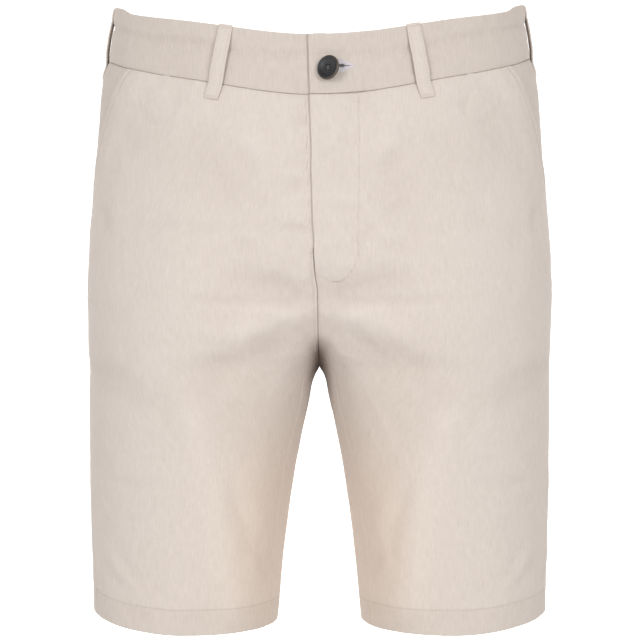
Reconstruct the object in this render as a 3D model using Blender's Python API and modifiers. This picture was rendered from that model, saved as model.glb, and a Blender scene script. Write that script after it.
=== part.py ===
"""Bermuda shorts, filled out as when worn: every cut and sewn piece is one closed thin wall.

+X is the wearer's left, -Y the front and +Z up. The origin is the centre of the waist, level with the side
ends of the waist seam. Sizes are named in millimetres and become metres as each mesh is made.

Each half of the garment is a stack of rings. A place on a half is given by its drop, the millimetres that its
ring lies below the waist seam at the side (less than 0 on the waistband), and by its turn, the degrees round
the ring: 0 on the front of the thigh, 90 at the side, 180 on the back of the thigh and 270 on its inner side.
"""

import math
from collections import namedtuple

import bmesh
import bpy
from mathutils import Matrix, Vector

MM = 0.001

# Cloth
WALL = 1.4
BAND_WALL = 2.0
FACING_WALL = 1.2
LOOP_WALL = 1.8
SEAM_GAP = 0.3
LAP_GAP = 0.6
FLY_GAP = 1.2

# Rings: half width, depths in front and behind, where the front and the seat stand out furthest from the
# centre plane, the innermost x, how far the ring dips at the front, and how full its outer front quarter is.
Section = namedtuple("Section", "drop half_width front back bulge seat inner dip fullness")
SECTIONS = (
    Section(-40, 162.6, 109.3, 107.4, 0, 0, -162.6, 38.0, 2.05),
    Section(-32, 163.6, 108.7, 106.9, 0, 0, -163.6, 38.6, 2.05),
    Section(-24, 164.2, 108.3, 106.6, 0, 0, -164.2, 39.4, 2.05),
    Section(-10, 166.2, 109.3, 107.4, 0, 0, -166.2, 41.0, 2.05),
    Section(0, 167.8, 110.0, 108.0, 0, 0, -167.8, 42.0, 2.05),
    Section(14, 172.0, 111.3, 110.0, 1, 0, -171.0, 40.5, 2.05),
    Section(46, 175.5, 113.5, 115.5, 5, 2, -168.0, 33.0, 2.05),
    Section(94, 178.2, 116.0, 123.5, 20, 10, -155.0, 19.0, 2.05),
    Section(142, 182.8, 117.5, 127.0, 42, 18, -125.0, 8.0, 2.05),
    Section(178, 184.4, 117.0, 128.0, 60, 31, -88.0, 2.5, 2.05),
    Section(206, 183.9, 115.0, 126.0, 72, 48, -55.0, 0.5, 2.0),
    Section(226, 183.3, 112.0, 123.5, 79, 66, -24.0, 0.0, 2.0),
    Section(243, 182.9, 108.5, 119.0, 85, 82, 0.0, 0.0, 2.0),
    Section(270, 182.4, 104.0, 113.0, 91, 91, 8.4, 0.0, 1.95),
    Section(318, 182.6, 96.5, 104.0, 96, 96, 18.5, 0.0, 1.9),
    Section(374, 181.7, 88.5, 95.0, 99, 99, 26.6, 0.0, 1.85),
    Section(442, 179.9, 80.5, 84.0, 101, 101, 33.4, 0.0, 1.85),
)
BAND_TOP = -40.0
CROTCH_DROP = 243.0
HEM_DROP = 442.0
HEM_DEPTH = 21.0
HEM_STEP = 1.5
HEM_SIDE_RISE = 6.2
HEM_INNER_FALL = 1.6
BACK_RISE = 3.0
DIP_SIDE = 0.636
DIP_FRONT = 1.176
PEAK_RISE = 2.5
PEAK_DROP = -14.0
PEAK_RAMP = 24.0
PEAK_SINE = 0.88
PEAK_SINE_RAMP = 0.065
WAIST_TILT = 1.2
WAIST_TILT_END = 80.0
TURN_STEP = 0.4
DROP_STEP = 0.5
PATH_SLACK = 0.000001

# Seams down the leg, as turns: the front panel is the narrower one towards the hem.
Seam = namedtuple("Seam", "drop outseam inseam")
SEAMS = (
    Seam(0, 90, -63),
    Seam(180, 90, -63),
    Seam(234, 88.5, -63),
    Seam(280, 85, -67),
    Seam(330, 79, -63),
    Seam(442, 66, -64),
)
FORK_DROP = 234.0
FORK_GAP = 0.25

# Slant pocket: its mouth is straight as seen from the side.
MOUTH_DROP = 145.0
MOUTH_TOP_Y = 56.0
MOUTH_UNDERLAP = 12.0
MOUTH_SINK_START = 82.0
MOUTH_SINK_END = 128.0
MOUTH_LIFT_REACH = 16.0
MOUTH_LIFT_RAMP = 20.0
FACING_TAIL = 6.0
FACING_ROWS = 9
FACING_COLUMNS = 6

# Fly: the left front laps over the right one; both end on the centre seam below it.
Fly = namedtuple("Fly", "drop lap underlap")
FLY = (
    Fly(-40, 8.8, 24.0),
    Fly(0, 7.4, 24.0),
    Fly(1, 7.2, 7.0),
    Fly(70, 5.6, 7.0),
    Fly(124, 2.6, 6.0),
    Fly(148, 0.0, 0.0),
    Fly(442, 0.0, 0.0),
)
FLY_END = 178.0
FLY_LIFT_END = 158.0
FLY_LIFT = WALL + FLY_GAP
FLY_LIFT_REACH = 11.0
FLY_LIFT_RAMP = 14.0
BAND_LIFT = BAND_WALL + LAP_GAP
BAND_LIFT_REACH = 28.0
BAND_LIFT_RAMP = 16.0

# The centre seam leans to the right above the crotch.
Lean = namedtuple("Lean", "drop shift")
LEANS = (
    Lean(-40, 0.0),
    Lean(40, 0.0),
    Lean(90, -1.6),
    Lean(124, -2.9),
    Lean(150, -4.2),
    Lean(168, -3.4),
    Lean(184, -1.4),
    Lean(226, -0.9),
    Lean(243, 0.0),
    Lean(442, 0.0),
)
LEAN_REACH = 45.0

# Largest folds of one half, drawn on the front (-1) or the back (+1) from a start to an end: the distance
# from the centre plane and the height of each, then the fold's half width, and its height, less than 0 for
# a trough.
Fold = namedtuple("Fold", "face start_x start_z end_x end_z width height")
FOLDS = (
    Fold(-1, 60, -176, 4, -190, 12, -1.8),
    Fold(-1, 8, -203, 55, -218, 11, 2.4),
    Fold(-1, 12, -212, 70, -240, 13, -2.6),
    Fold(-1, 13, -218, 27, -250, 11, 2.0),
    Fold(-1, 80, -262, 70, -285, 24, -1.6),
    Fold(-1, 88, -285, 64, -420, 14, 1.8),
    Fold(-1, 172, -246, 138, -264, 12, -1.8),
    Fold(-1, 150, -60, 60, -110, 26, -1.2),
    Fold(1, 16, -212, 84, -246, 14, -2.8),
    Fold(1, 20, -232, 70, -276, 13, 2.2),
    Fold(1, 165, -236, 105, -262, 14, -2.2),
    Fold(1, 96, -290, 84, -425, 16, 1.8),
    Fold(1, 40, -60, 110, -96, 24, -1.4),
)
SIDE_FADE = 0.22

# Grid of each panel
TOP_ROWS = 15
LEG_ROWS = 9
FRONT_COLUMNS = 20
BACK_COLUMNS = 22
SEAM_COLUMN = 0.012
FORK_OUTER_DROP = 288.0
BEND_WAIST = 1.5
BEND_FORK = 3.5
BEND_UNDER = 0.75
BAND_ROWS = (-0.3, -10.0, -18.0, -24.0, -32.0, -40.0)
BAND_COLUMNS = 40

# Belt loops: the turn at the lower and at the upper end, and the half of the garment.
LOOP_WIDTH = 11.0
LOOP_BOTTOM = 13.0
LOOP_TOP = -41.0
LOOP_END_LIFT = 0.5
LOOP_STAND = 2.6
LOOP_FREE_START = -2.0
LOOP_FREE_END = -28.0
LOOP_RAMP = 8.0
LOOP_ROWS = 12
Loop = namedtuple("Loop", "name side lower_turn upper_turn")
LOOPS = (
    Loop("belt_loop_front_left", 1, 26.9, 24.3),
    Loop("belt_loop_front_right", -1, 26.9, 24.3),
    Loop("belt_loop_side_left", 1, 90.0, 90.0),
    Loop("belt_loop_side_right", -1, 90.0, 90.0),
    Loop("belt_loop_back", 1, 180.0, 180.0),
)

# Button: turned about the upright axis and tilted back, its edge above the buttonhole lifted off the band.
BUTTON_X = 6.05
BUTTON_DROP = -15.9
BUTTON_YAW = -32.0
BUTTON_TILT = 6.0
BUTTON_STAND = 6.2
BUTTON_PROFILE = ((0.0, 0.4), (6.0, 0.4), (7.0, 1.5), (8.2, 1.5), (9.0, 0.6), (9.0, -0.4), (8.0, -1.5),
                  (0.0, -1.5))
BUTTON_STEPS = 40
HOLE_RADIUS = 1.05
HOLE_OFFSET = 1.75
HOLE_SEGMENTS = 12
HOLE_DEPTH = 6.0
HOLE_TURNS = (45.0, 135.0, 225.0, 315.0)

LINEN_COLOUR = (0.73, 0.665, 0.59, 1.0)
BUTTON_COLOUR = (0.03, 0.028, 0.03, 1.0)


def clear_scene():
    """Remove the objects that the file starts with."""
    for existing in list(bpy.data.objects):
        bpy.data.objects.remove(existing, do_unlink=True)


def new_collection(name):
    """Make a collection in the scene."""
    collection = bpy.data.collections.new(name)
    bpy.context.scene.collection.children.link(collection)
    return collection


def principled(name, colour, roughness):
    """Make a plain material."""
    material = bpy.data.materials.new(name)
    material.use_nodes = True
    shader = material.node_tree.nodes["Principled BSDF"]
    shader.inputs["Base Color"].default_value = colour
    shader.inputs["Roughness"].default_value = roughness
    shader.inputs["Metallic"].default_value = 0.0
    return material


def smooth(amount):
    """Ease from 0 to 1 as the amount goes from 0 to 1."""
    held = min(max(amount, 0.0), 1.0)
    return held * held * (3.0 - 2.0 * held)


def between(start, end, amount):
    """Go straight from a start to an end."""
    return start + (end - start) * amount


def table_row(table, drop):
    """Read every column of a table at a drop, on smooth curves through its rows."""
    drop = min(max(drop, table[0].drop), table[-1].drop)
    low = next(index for index in range(len(table) - 1) if drop <= table[index + 1].drop)
    upper, lower = table[low], table[low + 1]
    before, after = table[max(low - 1, 0)], table[min(low + 2, len(table) - 1)]
    span = lower.drop - upper.drop
    part = (drop - upper.drop) / span
    values = []
    for first, start, end, last in zip(before[1:], upper[1:], lower[1:], after[1:]):
        start_slope = (end - first) / (lower.drop - before.drop) * span
        end_slope = (last - start) / (after.drop - upper.drop) * span
        bow = (1.0 - part) ** 2 * part * start_slope - (1.0 - part) * part ** 2 * end_slope
        values.append(between(start, end, smooth(part)) + bow)
    return type(upper)(drop, *values)


def straight_row(table, drop):
    """Read every column of a table at a drop, on straight lines between its rows."""
    low = next((index for index in range(len(table) - 1) if drop <= table[index + 1].drop), len(table) - 2)
    upper, lower = table[low], table[low + 1]
    part = min(max((drop - upper.drop) / (lower.drop - upper.drop), 0.0), 1.0)
    return type(upper)(drop, *[between(start, end, part) for start, end in zip(upper[1:], lower[1:])])


def ring_rise(section, sine, cosine):
    """How far a ring rises over its level at the side: less than 0 where it dips."""
    facing = cosine ** 2
    if cosine > 0:
        rise = -section.dip * (facing + facing * (1.0 - facing) * (DIP_SIDE - DIP_FRONT * facing))
    else:
        rise = BACK_RISE * section.dip / SECTIONS[0].dip * facing
    hem_share = smooth((section.drop - CROTCH_DROP) / (HEM_DROP - CROTCH_DROP))
    hem_rise = HEM_SIDE_RISE if sine > 0 else HEM_INNER_FALL
    band_share = smooth((PEAK_DROP - section.drop) / PEAK_RAMP)
    peak = PEAK_RISE * band_share * smooth((sine - PEAK_SINE) / PEAK_SINE_RAMP)
    return rise + peak + hem_rise * hem_share * sine * abs(sine)


def ring_point(drop, turn):
    """A point of the left half's ring."""
    section = table_row(SECTIONS, drop)
    sine, cosine = math.sin(math.radians(turn)), math.cos(math.radians(turn))
    in_front = cosine > 0
    middle = section.bulge if in_front else section.seat
    depth = section.front if in_front else section.back
    width = section.half_width - middle if sine > 0 else middle - section.inner
    power = 2.0 / section.fullness if in_front and sine > 0 else 1.0
    x = middle + math.copysign(width * abs(sine) ** power, sine)
    y = -math.copysign(depth * abs(cosine) ** power, cosine)
    return Vector((x, y, ring_rise(section, sine, cosine) - drop))


def centre_turn(drop, x, behind):
    """The turn at which the left half's ring stands at x, in front or behind."""
    section = table_row(SECTIONS, drop)
    middle = section.seat if behind else section.bulge
    if x > middle:
        power = 1.0 if behind else section.fullness / 2.0
        sine = ((x - middle) / (section.half_width - middle)) ** power
    else:
        sine = -min((middle - x) / (middle - section.inner), 1.0)
    turn = math.degrees(math.asin(sine))
    return 180.0 - turn if behind else turn


def turn_for(drop, turn, distance):
    """The change of turn that moves a point a distance round its ring."""
    span = ring_point(drop, turn + TURN_STEP) - ring_point(drop, turn - TURN_STEP)
    return distance * 2.0 * TURN_STEP / span.length


def half_ring(drop, turn):
    """A point and its outward direction; past the centre plane the ring goes on as its own mirror image."""
    mirrored = False
    if drop < FLY_END:
        front_centre = centre_turn(drop, 0.0, False)
        back_centre = centre_turn(drop, 0.0, True)
        if turn < front_centre:
            turn = 2.0 * front_centre - turn
            mirrored = True
        elif turn > back_centre:
            turn = 2.0 * back_centre - turn
            mirrored = True
    around = ring_point(drop, turn + TURN_STEP) - ring_point(drop, turn - TURN_STEP)
    down = ring_point(drop + DROP_STEP, turn) - ring_point(drop - DROP_STEP, turn)
    point, normal = ring_point(drop, turn), down.cross(around).normalized()
    if mirrored:
        point.x, normal.x = -point.x, -normal.x
    return point, normal


def fold_relief(point, turn):
    """How far the folds lift or sink the cloth at a point of the left half."""
    cosine = math.cos(math.radians(turn))
    face = -1 if cosine > 0 else 1
    relief = 0.0
    for fold in FOLDS:
        if fold.face != face:
            continue
        start = Vector((fold.start_x, fold.start_z))
        run = Vector((fold.end_x, fold.end_z)) - start
        offset = Vector((abs(point.x), point.z)) - start
        along = offset.dot(run) / run.length_squared
        across = (offset - run * min(max(along, 0.0), 1.0)).length
        relief += fold.height * math.exp(-(across / fold.width) ** 2)
    return relief * smooth(abs(cosine) / SIDE_FADE)


def place(side, drop, turn, lift=0.0):
    """A point of the finished cloth, in metres, lifted off it along its outward direction."""
    point, normal = half_ring(drop, turn)
    point += normal * (lift + fold_relief(point, turn))
    if drop > FLY_END:
        point.x = max(point.x, SEAM_GAP / 2)
    lean = straight_row(LEANS, drop).shift * math.exp(-(point.x / LEAN_REACH) ** 2)
    tilt = WAIST_TILT * side * point.x / SECTIONS[0].half_width * (1.0 - smooth(drop / WAIST_TILT_END))
    return Vector((side * point.x + lean, point.y, point.z + tilt)) * MM


def grid_object(name, rows, outward, collection, material):
    """Make an open sheet from rows of points; outward says if its faces already point out."""
    columns = len(rows[0])
    faces = []
    for row in range(len(rows) - 1):
        for column in range(columns - 1):
            corner = row * columns + column
            face = (corner, corner + 1, corner + columns + 1, corner + columns)
            faces.append(face if outward else face[::-1])
    mesh = bpy.data.meshes.new(name)
    mesh.from_pydata([point for row in rows for point in row], [], faces)
    mesh.shade_smooth()
    mesh.materials.append(material)
    sheet = bpy.data.objects.new(name, mesh)
    collection.objects.link(sheet)
    return sheet


def thicken(sheet, wall, offset=-1.0):
    """Turn an open sheet into a wall: inwards with an offset of -1, outwards with 1."""
    solidify = sheet.modifiers.new("Wall", "SOLIDIFY")
    solidify.thickness = wall * MM
    solidify.offset = offset
    solidify.use_even_offset = True
    return solidify


def even_rows(path, count):
    """Share out a path of (drop, turn) places into rows that are evenly far apart along the cloth."""
    points = [ring_point(drop, turn) for drop, turn in path]
    lengths = [0.0]
    for earlier, later in zip(points, points[1:]):
        lengths.append(lengths[-1] + (later - earlier).length)
    places = []
    for row in range(count + 1):
        wanted = lengths[-1] * row / count
        low = next(index for index in range(len(lengths) - 1) if wanted <= lengths[index + 1] + PATH_SLACK)
        part = (wanted - lengths[low]) / (lengths[low + 1] - lengths[low])
        places.append(tuple(between(start, end, part) for start, end in zip(path[low], path[low + 1])))
    return places


def fly_edge(side, drop):
    """Where a front ends at the centre, as x towards its own side."""
    fly = straight_row(FLY, drop)
    return SEAM_GAP / 2 - (fly.lap if side > 0 else fly.underlap)


def front_centre_rows(side):
    """The front's centre edge from the waist seam to the fork of the inner leg."""
    drops = list(range(int(FORK_DROP))) + [FORK_DROP - FORK_GAP]
    path = [(drop, centre_turn(drop, fly_edge(side, max(drop, 1)), False)) for drop in drops]
    return even_rows(path, TOP_ROWS)


def back_centre_rows():
    """The back's centre edge from the waist seam down and under the crotch to the same fork."""
    edge = SEAM_GAP / 2
    path = [(drop, centre_turn(drop, edge, True)) for drop in range(int(CROTCH_DROP) + 1)]
    for drop in range(int(CROTCH_DROP) - 1, int(FORK_DROP) - 1, -1):
        path.append((drop, 360.0 + centre_turn(drop, edge, False)))
    return even_rows(path, TOP_ROWS)


def mouth_turn(drop):
    """The turn of the pocket mouth: a straight slant from the waist seam back to the outseam."""
    section = table_row(SECTIONS, drop)
    forward = MOUTH_TOP_Y * (1.0 - drop / MOUTH_DROP)
    return math.degrees(math.acos((forward / section.front) ** (section.fullness / 2.0)))


def outseam_turn(drop):
    """The turn of the outseam."""
    return table_row(SEAMS, drop).outseam


def front_outer_turn(drop):
    """The turn of the front's outer edge: the pocket mouth, then the outseam."""
    turn = mouth_turn(drop) if drop < MOUTH_DROP else outseam_turn(drop)
    return turn - turn_for(drop, turn, SEAM_GAP / 2)


def fall(value, start, ramp):
    """Ease from 1 to 0 over a ramp that begins at a start."""
    return 1.0 - smooth((value - start) / ramp)


def mouth_lift(drop):
    """How far the front stands proud at the pocket mouth; the facing sinks by the rest."""
    return (WALL + LAP_GAP) * fall(drop, MOUTH_SINK_START, MOUTH_SINK_END - MOUTH_SINK_START)


def front_lift(side, drop, turn):
    """How far a front stands off its rings: at the pocket mouth and, on the left front, at the fly lap."""
    lift = 0.0
    if drop < MOUTH_DROP:
        mouth = mouth_turn(drop)
        reach = (mouth - turn) / turn_for(drop, mouth, 1.0)
        lift = mouth_lift(drop) * fall(reach, MOUTH_LIFT_REACH, MOUTH_LIFT_RAMP)
    if side > 0:
        reach = abs(half_ring(drop, turn)[0].x) if turn > centre_turn(drop, 0.0, False) else 0.0
        lap = FLY_LIFT * fall(reach, FLY_LIFT_REACH, FLY_LIFT_RAMP)
        lift = max(lift, lap * fall(drop, FLY_LIFT_END, FLY_END - FLY_LIFT_END))
    return lift


def no_lift(side, drop, turn):
    """A back lies on its rings."""
    return 0.0


def leg_drops(start):
    """The drops of the rows below the fork, ending in the turned-up hem."""
    hem_top = HEM_DROP - HEM_DEPTH
    drops = [between(start, hem_top, row / LEG_ROWS) for row in range(1, LEG_ROWS + 1)]
    return drops + [hem_top + HEM_STEP, HEM_DROP]


def column_parts(columns):
    """Shares of a row where its columns stand: even, with one more beside each seam to keep its edge square."""
    middle = [column / columns for column in range(1, columns)]
    return [0.0, SEAM_COLUMN] + middle + [1.0 - SEAM_COLUMN, 1.0]


def panel_rows(side, centre_rows, outer_turn, inseam_turn, columns, lift):
    """The points of a front or a back, row by row from the waist seam to the hem."""
    outer = [FORK_OUTER_DROP * row / TOP_ROWS for row in range(TOP_ROWS + 1)] + leg_drops(FORK_OUTER_DROP)
    inner = centre_rows + [(drop, inseam_turn(drop)) for drop in leg_drops(FORK_DROP)]
    rows = []
    for index, (outer_drop, (inner_drop, inner_turn)) in enumerate(zip(outer, inner)):
        bend = between(BEND_WAIST, BEND_FORK, min(index / TOP_ROWS, 1.0) ** 2)
        if inner_drop > outer_drop:
            bend = BEND_UNDER
        row = []
        for part in column_parts(columns):
            drop = between(outer_drop, inner_drop, part ** bend)
            turn = between(outer_turn(outer_drop), inner_turn, part)
            row.append(place(side, drop, turn, lift(side, drop, turn)))
        rows.append(row)
    return rows


def add_hem_group(panel, row_count):
    """Weight the turned-up hem fully and the rest of the panel by half, to double the wall there."""
    group = panel.vertex_groups.new(name="hem")
    columns = len(panel.data.vertices) // row_count
    first_hem = (row_count - 2) * columns
    group.add(list(range(first_hem)), 0.5, "REPLACE")
    group.add(list(range(first_hem, len(panel.data.vertices))), 1.0, "REPLACE")
    solidify = thicken(panel, 2.0 * WALL)
    solidify.vertex_group = group.name
    solidify.thickness_vertex_group = 0.0


def make_front(name, side, collection, material):
    """A front: from the pocket mouth and outseam to the fly, crotch seam and inseam."""
    def inseam(drop):
        turn = table_row(SEAMS, drop).inseam
        return turn + turn_for(drop, turn, SEAM_GAP / 2)

    rows = panel_rows(side, front_centre_rows(side), front_outer_turn, inseam, FRONT_COLUMNS, front_lift)
    add_hem_group(grid_object(name, rows, side > 0, collection, material), len(rows))


def make_back(name, side, collection, material):
    """A back: from the outseam round the seat to the centre seam, under the crotch and down the inseam."""
    def outseam(drop):
        turn = outseam_turn(drop)
        return turn + turn_for(drop, turn, SEAM_GAP / 2)

    def inseam(drop):
        turn = table_row(SEAMS, drop).inseam
        return 360.0 + turn - turn_for(drop, turn, SEAM_GAP / 2)

    rows = panel_rows(side, back_centre_rows(), outseam, inseam, BACK_COLUMNS, no_lift)
    add_hem_group(grid_object(name, rows, side < 0, collection, material), len(rows))


def make_facing(name, side, collection, material):
    """The pocket facing: what shows between the mouth and the outseam, and a strip under the front."""
    rows = []
    for index in range(FACING_ROWS + 1):
        drop = (MOUTH_DROP + FACING_TAIL) * index / FACING_ROWS
        mouth = mouth_turn(min(drop, MOUTH_DROP))
        under = mouth - turn_for(drop, mouth, MOUTH_UNDERLAP)
        outer = outseam_turn(drop) - turn_for(drop, outseam_turn(drop), SEAM_GAP / 2)
        turns = [between(outer, under, column / FACING_COLUMNS) for column in range(FACING_COLUMNS + 1)]
        sunk = mouth_lift(drop) - (WALL + LAP_GAP)
        rows.append([place(side, drop, turn, sunk) for turn in turns])
    thicken(grid_object(name, rows, side > 0, collection, material), FACING_WALL)


def make_waistband(name, side, collection, material):
    """Half of the waistband, from its end at the front round to the centre back."""
    rows = []
    for drop in BAND_ROWS:
        first = centre_turn(drop, 0.0, False) + fly_edge(side, drop) * turn_for(drop, 0.0, 1.0)
        last = centre_turn(drop, SEAM_GAP / 2, True)
        row = []
        for column in range(BAND_COLUMNS + 1):
            turn = between(first, last, column / BAND_COLUMNS)
            reach = turn / turn_for(drop, 0.0, 1.0)
            lap = BAND_LIFT * fall(reach, BAND_LIFT_REACH, BAND_LIFT_RAMP) if side > 0 else 0.0
            row.append(place(side, drop, turn, lap))
        rows.append(row)
    thicken(grid_object(name, rows, side > 0, collection, material), BAND_WALL)


def make_loop(loop, collection, material):
    """A belt loop: a strip that stands off the band between its two sewn ends."""
    rows = []
    for index in range(LOOP_ROWS + 1):
        drop = between(LOOP_BOTTOM, LOOP_TOP, index / LOOP_ROWS)
        turn = between(loop.lower_turn, loop.upper_turn, index / LOOP_ROWS)
        half = turn_for(max(drop, BAND_TOP), turn, LOOP_WIDTH / 2)
        free = min(LOOP_FREE_START - drop, drop - LOOP_FREE_END) / LOOP_RAMP
        lift = between(LOOP_END_LIFT, LOOP_STAND, smooth(free))
        rows.append([place(loop.side, drop, turn + half * step, lift) for step in (-1, 0, 1)])
    thicken(grid_object(loop.name, rows, loop.side > 0, collection, material), LOOP_WALL, 1.0)


def make_button(name, collection, cutters, material):
    """The button: a turned rim and dish with four sewing holes."""
    mesh = bpy.data.meshes.new(name)
    profile = bmesh.new()
    corners = [profile.verts.new((radius * MM, 0.0, height * MM)) for radius, height in BUTTON_PROFILE]
    for upper, lower in zip(corners, corners[1:]):
        profile.edges.new((upper, lower))
    profile.to_mesh(mesh)
    profile.free()
    mesh.materials.append(material)
    button = bpy.data.objects.new(name, mesh)
    collection.objects.link(button)
    screw = button.modifiers.new("Turned", "SCREW")
    screw.steps = BUTTON_STEPS
    screw.render_steps = BUTTON_STEPS
    screw.use_merge_vertices = True
    screw.merge_threshold = 0.00001
    holes = bmesh.new()
    for turn in HOLE_TURNS:
        angle = math.radians(turn)
        centre = Vector((math.cos(angle), math.sin(angle), 0.0)) * HOLE_OFFSET * MM
        bmesh.ops.create_cone(holes, cap_ends=True, segments=HOLE_SEGMENTS, radius1=HOLE_RADIUS * MM,
                              radius2=HOLE_RADIUS * MM, depth=HOLE_DEPTH * MM,
                              matrix=Matrix.Translation(centre))
    hole_mesh = bpy.data.meshes.new("button_holes")
    holes.to_mesh(hole_mesh)
    holes.free()
    cutter = bpy.data.objects.new("button_holes", hole_mesh)
    cutters.objects.link(cutter)
    cutter.hide_render = True
    cutter.display_type = "WIRE"
    cut = button.modifiers.new("Sewing holes", "BOOLEAN")
    cut.operation = "DIFFERENCE"
    cut.object = cutter
    turn = BUTTON_X * turn_for(BUTTON_DROP, 0.0, 1.0)
    location = place(1, BUTTON_DROP, turn, BAND_LIFT + BUTTON_STAND)
    upright = Matrix.Rotation(math.radians(90.0 - BUTTON_TILT), 4, "X")
    facing = Matrix.Rotation(math.radians(BUTTON_YAW), 4, "Z") @ upright
    button.matrix_world = Matrix.Translation(location) @ facing
    cutter.matrix_world = button.matrix_world


def build():
    """Make every piece of the shorts."""
    clear_scene()
    shorts = new_collection("bermuda_shorts")
    cutters = new_collection("cutters")
    linen = principled("linen", LINEN_COLOUR, 0.85)
    button_material = principled("button_plastic", BUTTON_COLOUR, 0.35)
    for suffix, side in (("left", 1), ("right", -1)):
        make_front(f"front_{suffix}", side, shorts, linen)
        make_back(f"back_{suffix}", side, shorts, linen)
        make_facing(f"pocket_facing_{suffix}", side, shorts, linen)
        make_waistband(f"waistband_{suffix}", side, shorts, linen)
    for loop in LOOPS:
        make_loop(loop, shorts, linen)
    make_button("button", shorts, cutters, button_material)


build()
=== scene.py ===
"""Looks of a pair of bermuda shorts in slubby linen, filled out as when worn.

Lengths in the tables and working arrays are millimetres in the row's frame: +X is the wearer's left, -Y the
front and +Z up. They become metres as each mesh is made. A place on a half of the garment has a drop, below
the waist seam at the side, and a turn round its ring: 0 in front, 90 at the side, 180 behind, 270 inside.
"""

import math

import bpy
import numpy as np
from mathutils import Matrix, Vector, noise
from mathutils.bvhtree import BVHTree


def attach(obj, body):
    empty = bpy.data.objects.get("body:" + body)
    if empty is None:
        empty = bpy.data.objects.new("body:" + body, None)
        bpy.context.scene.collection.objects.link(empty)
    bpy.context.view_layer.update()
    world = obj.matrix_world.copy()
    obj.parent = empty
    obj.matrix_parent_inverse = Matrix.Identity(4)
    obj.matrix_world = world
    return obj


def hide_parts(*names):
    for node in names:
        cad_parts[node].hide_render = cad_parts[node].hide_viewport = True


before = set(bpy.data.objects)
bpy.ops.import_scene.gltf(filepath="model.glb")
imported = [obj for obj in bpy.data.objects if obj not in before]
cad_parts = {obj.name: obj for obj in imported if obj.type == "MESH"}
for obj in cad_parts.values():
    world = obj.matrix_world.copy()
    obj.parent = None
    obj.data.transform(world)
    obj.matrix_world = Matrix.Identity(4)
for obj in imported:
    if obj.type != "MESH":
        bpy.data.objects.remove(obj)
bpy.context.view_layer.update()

MM = 0.001
FORWARD = np.array((0.0, -1.0, 0.0))

# ---------------------------------------------------------------- rings, as in the solids
# drop, half width, front, back, bulge, seat, inner, dip, fullness
SECTIONS = np.array((
    (-40, 162.6, 109.3, 107.4, 0, 0, -162.6, 38.0, 2.05),
    (-32, 163.6, 108.7, 106.9, 0, 0, -163.6, 38.6, 2.05),
    (-24, 164.2, 108.3, 106.6, 0, 0, -164.2, 39.4, 2.05),
    (-10, 166.2, 109.3, 107.4, 0, 0, -166.2, 41.0, 2.05),
    (0, 167.8, 110.0, 108.0, 0, 0, -167.8, 42.0, 2.05),
    (14, 172.0, 111.3, 110.0, 1, 0, -171.0, 40.5, 2.05),
    (46, 175.5, 113.5, 115.5, 5, 2, -168.0, 33.0, 2.05),
    (94, 178.2, 116.0, 123.5, 20, 10, -155.0, 19.0, 2.05),
    (142, 182.8, 117.5, 127.0, 42, 18, -125.0, 8.0, 2.05),
    (178, 184.4, 117.0, 128.0, 60, 31, -88.0, 2.5, 2.05),
    (206, 183.9, 115.0, 126.0, 72, 48, -55.0, 0.5, 2.0),
    (226, 183.3, 112.0, 123.5, 79, 66, -24.0, 0.0, 2.0),
    (243, 182.9, 108.5, 119.0, 85, 82, 0.0, 0.0, 2.0),
    (270, 182.4, 104.0, 113.0, 91, 91, 8.4, 0.0, 1.95),
    (318, 182.6, 96.5, 104.0, 96, 96, 18.5, 0.0, 1.9),
    (374, 181.7, 88.5, 95.0, 99, 99, 26.6, 0.0, 1.85),
    (442, 179.9, 80.5, 84.0, 101, 101, 33.4, 0.0, 1.85),
), float)
CROTCH_DROP = 243.0
HEM_DROP = 442.0
HEM_SIDE_RISE = 6.2
HEM_INNER_FALL = 1.6
BACK_RISE = 3.0
DIP_SIDE = 0.636
DIP_FRONT = 1.176
# how far the band's top rises at the side, and from which drop and turn it does
PEAK_RISE = 2.5
PEAK_DROP = (-14.0, 24.0)
PEAK_SINE = (0.88, 0.065)
WAIST_TILT = 1.2
WAIST_TILT_END = 80.0
# drop, outseam turn, inseam turn
SEAMS = np.array(((0, 90, -63), (180, 90, -63), (234, 88.5, -63), (280, 85, -67), (330, 79, -63),
                  (442, 66, -64)), float)
FORK_DROP = 234.0
FORK_OUTER_DROP = 288.0
BEND_WAIST = 1.5
BEND_FORK = 3.5
BEND_UNDER = 0.75
MOUTH_DROP = 145.0
MOUTH_TOP_Y = 56.0
MOUTH_SINK = (82.0, 128.0)
# drop, lap, underlap
FLY = np.array(((-40, 8.8, 24), (0, 7.4, 24), (1, 7.2, 7), (70, 5.6, 7), (124, 2.6, 6), (148, 0, 0),
                (442, 0, 0)), float)
SEAM_START = 148.0
FLY_END = 178.0
# drop, shift of the centre seam
LEANS = np.array(((-40, 0), (40, 0), (90, -1.6), (124, -2.9), (150, -4.2), (168, -3.4), (184, -1.4),
                  (226, -0.9), (243, 0), (442, 0)), float)
LEAN_REACH = 45.0
SEAM_GAP = 0.3
# depth and half width of the fold between the legs, how far in front it is at its full depth, and the drops
# between which it deepens above the crotch
CLEFT = (4.0, 4.0, 40.0, 212.0, 238.0)
TURN_STEP = 0.4
DROP_STEP = 0.5

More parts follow.
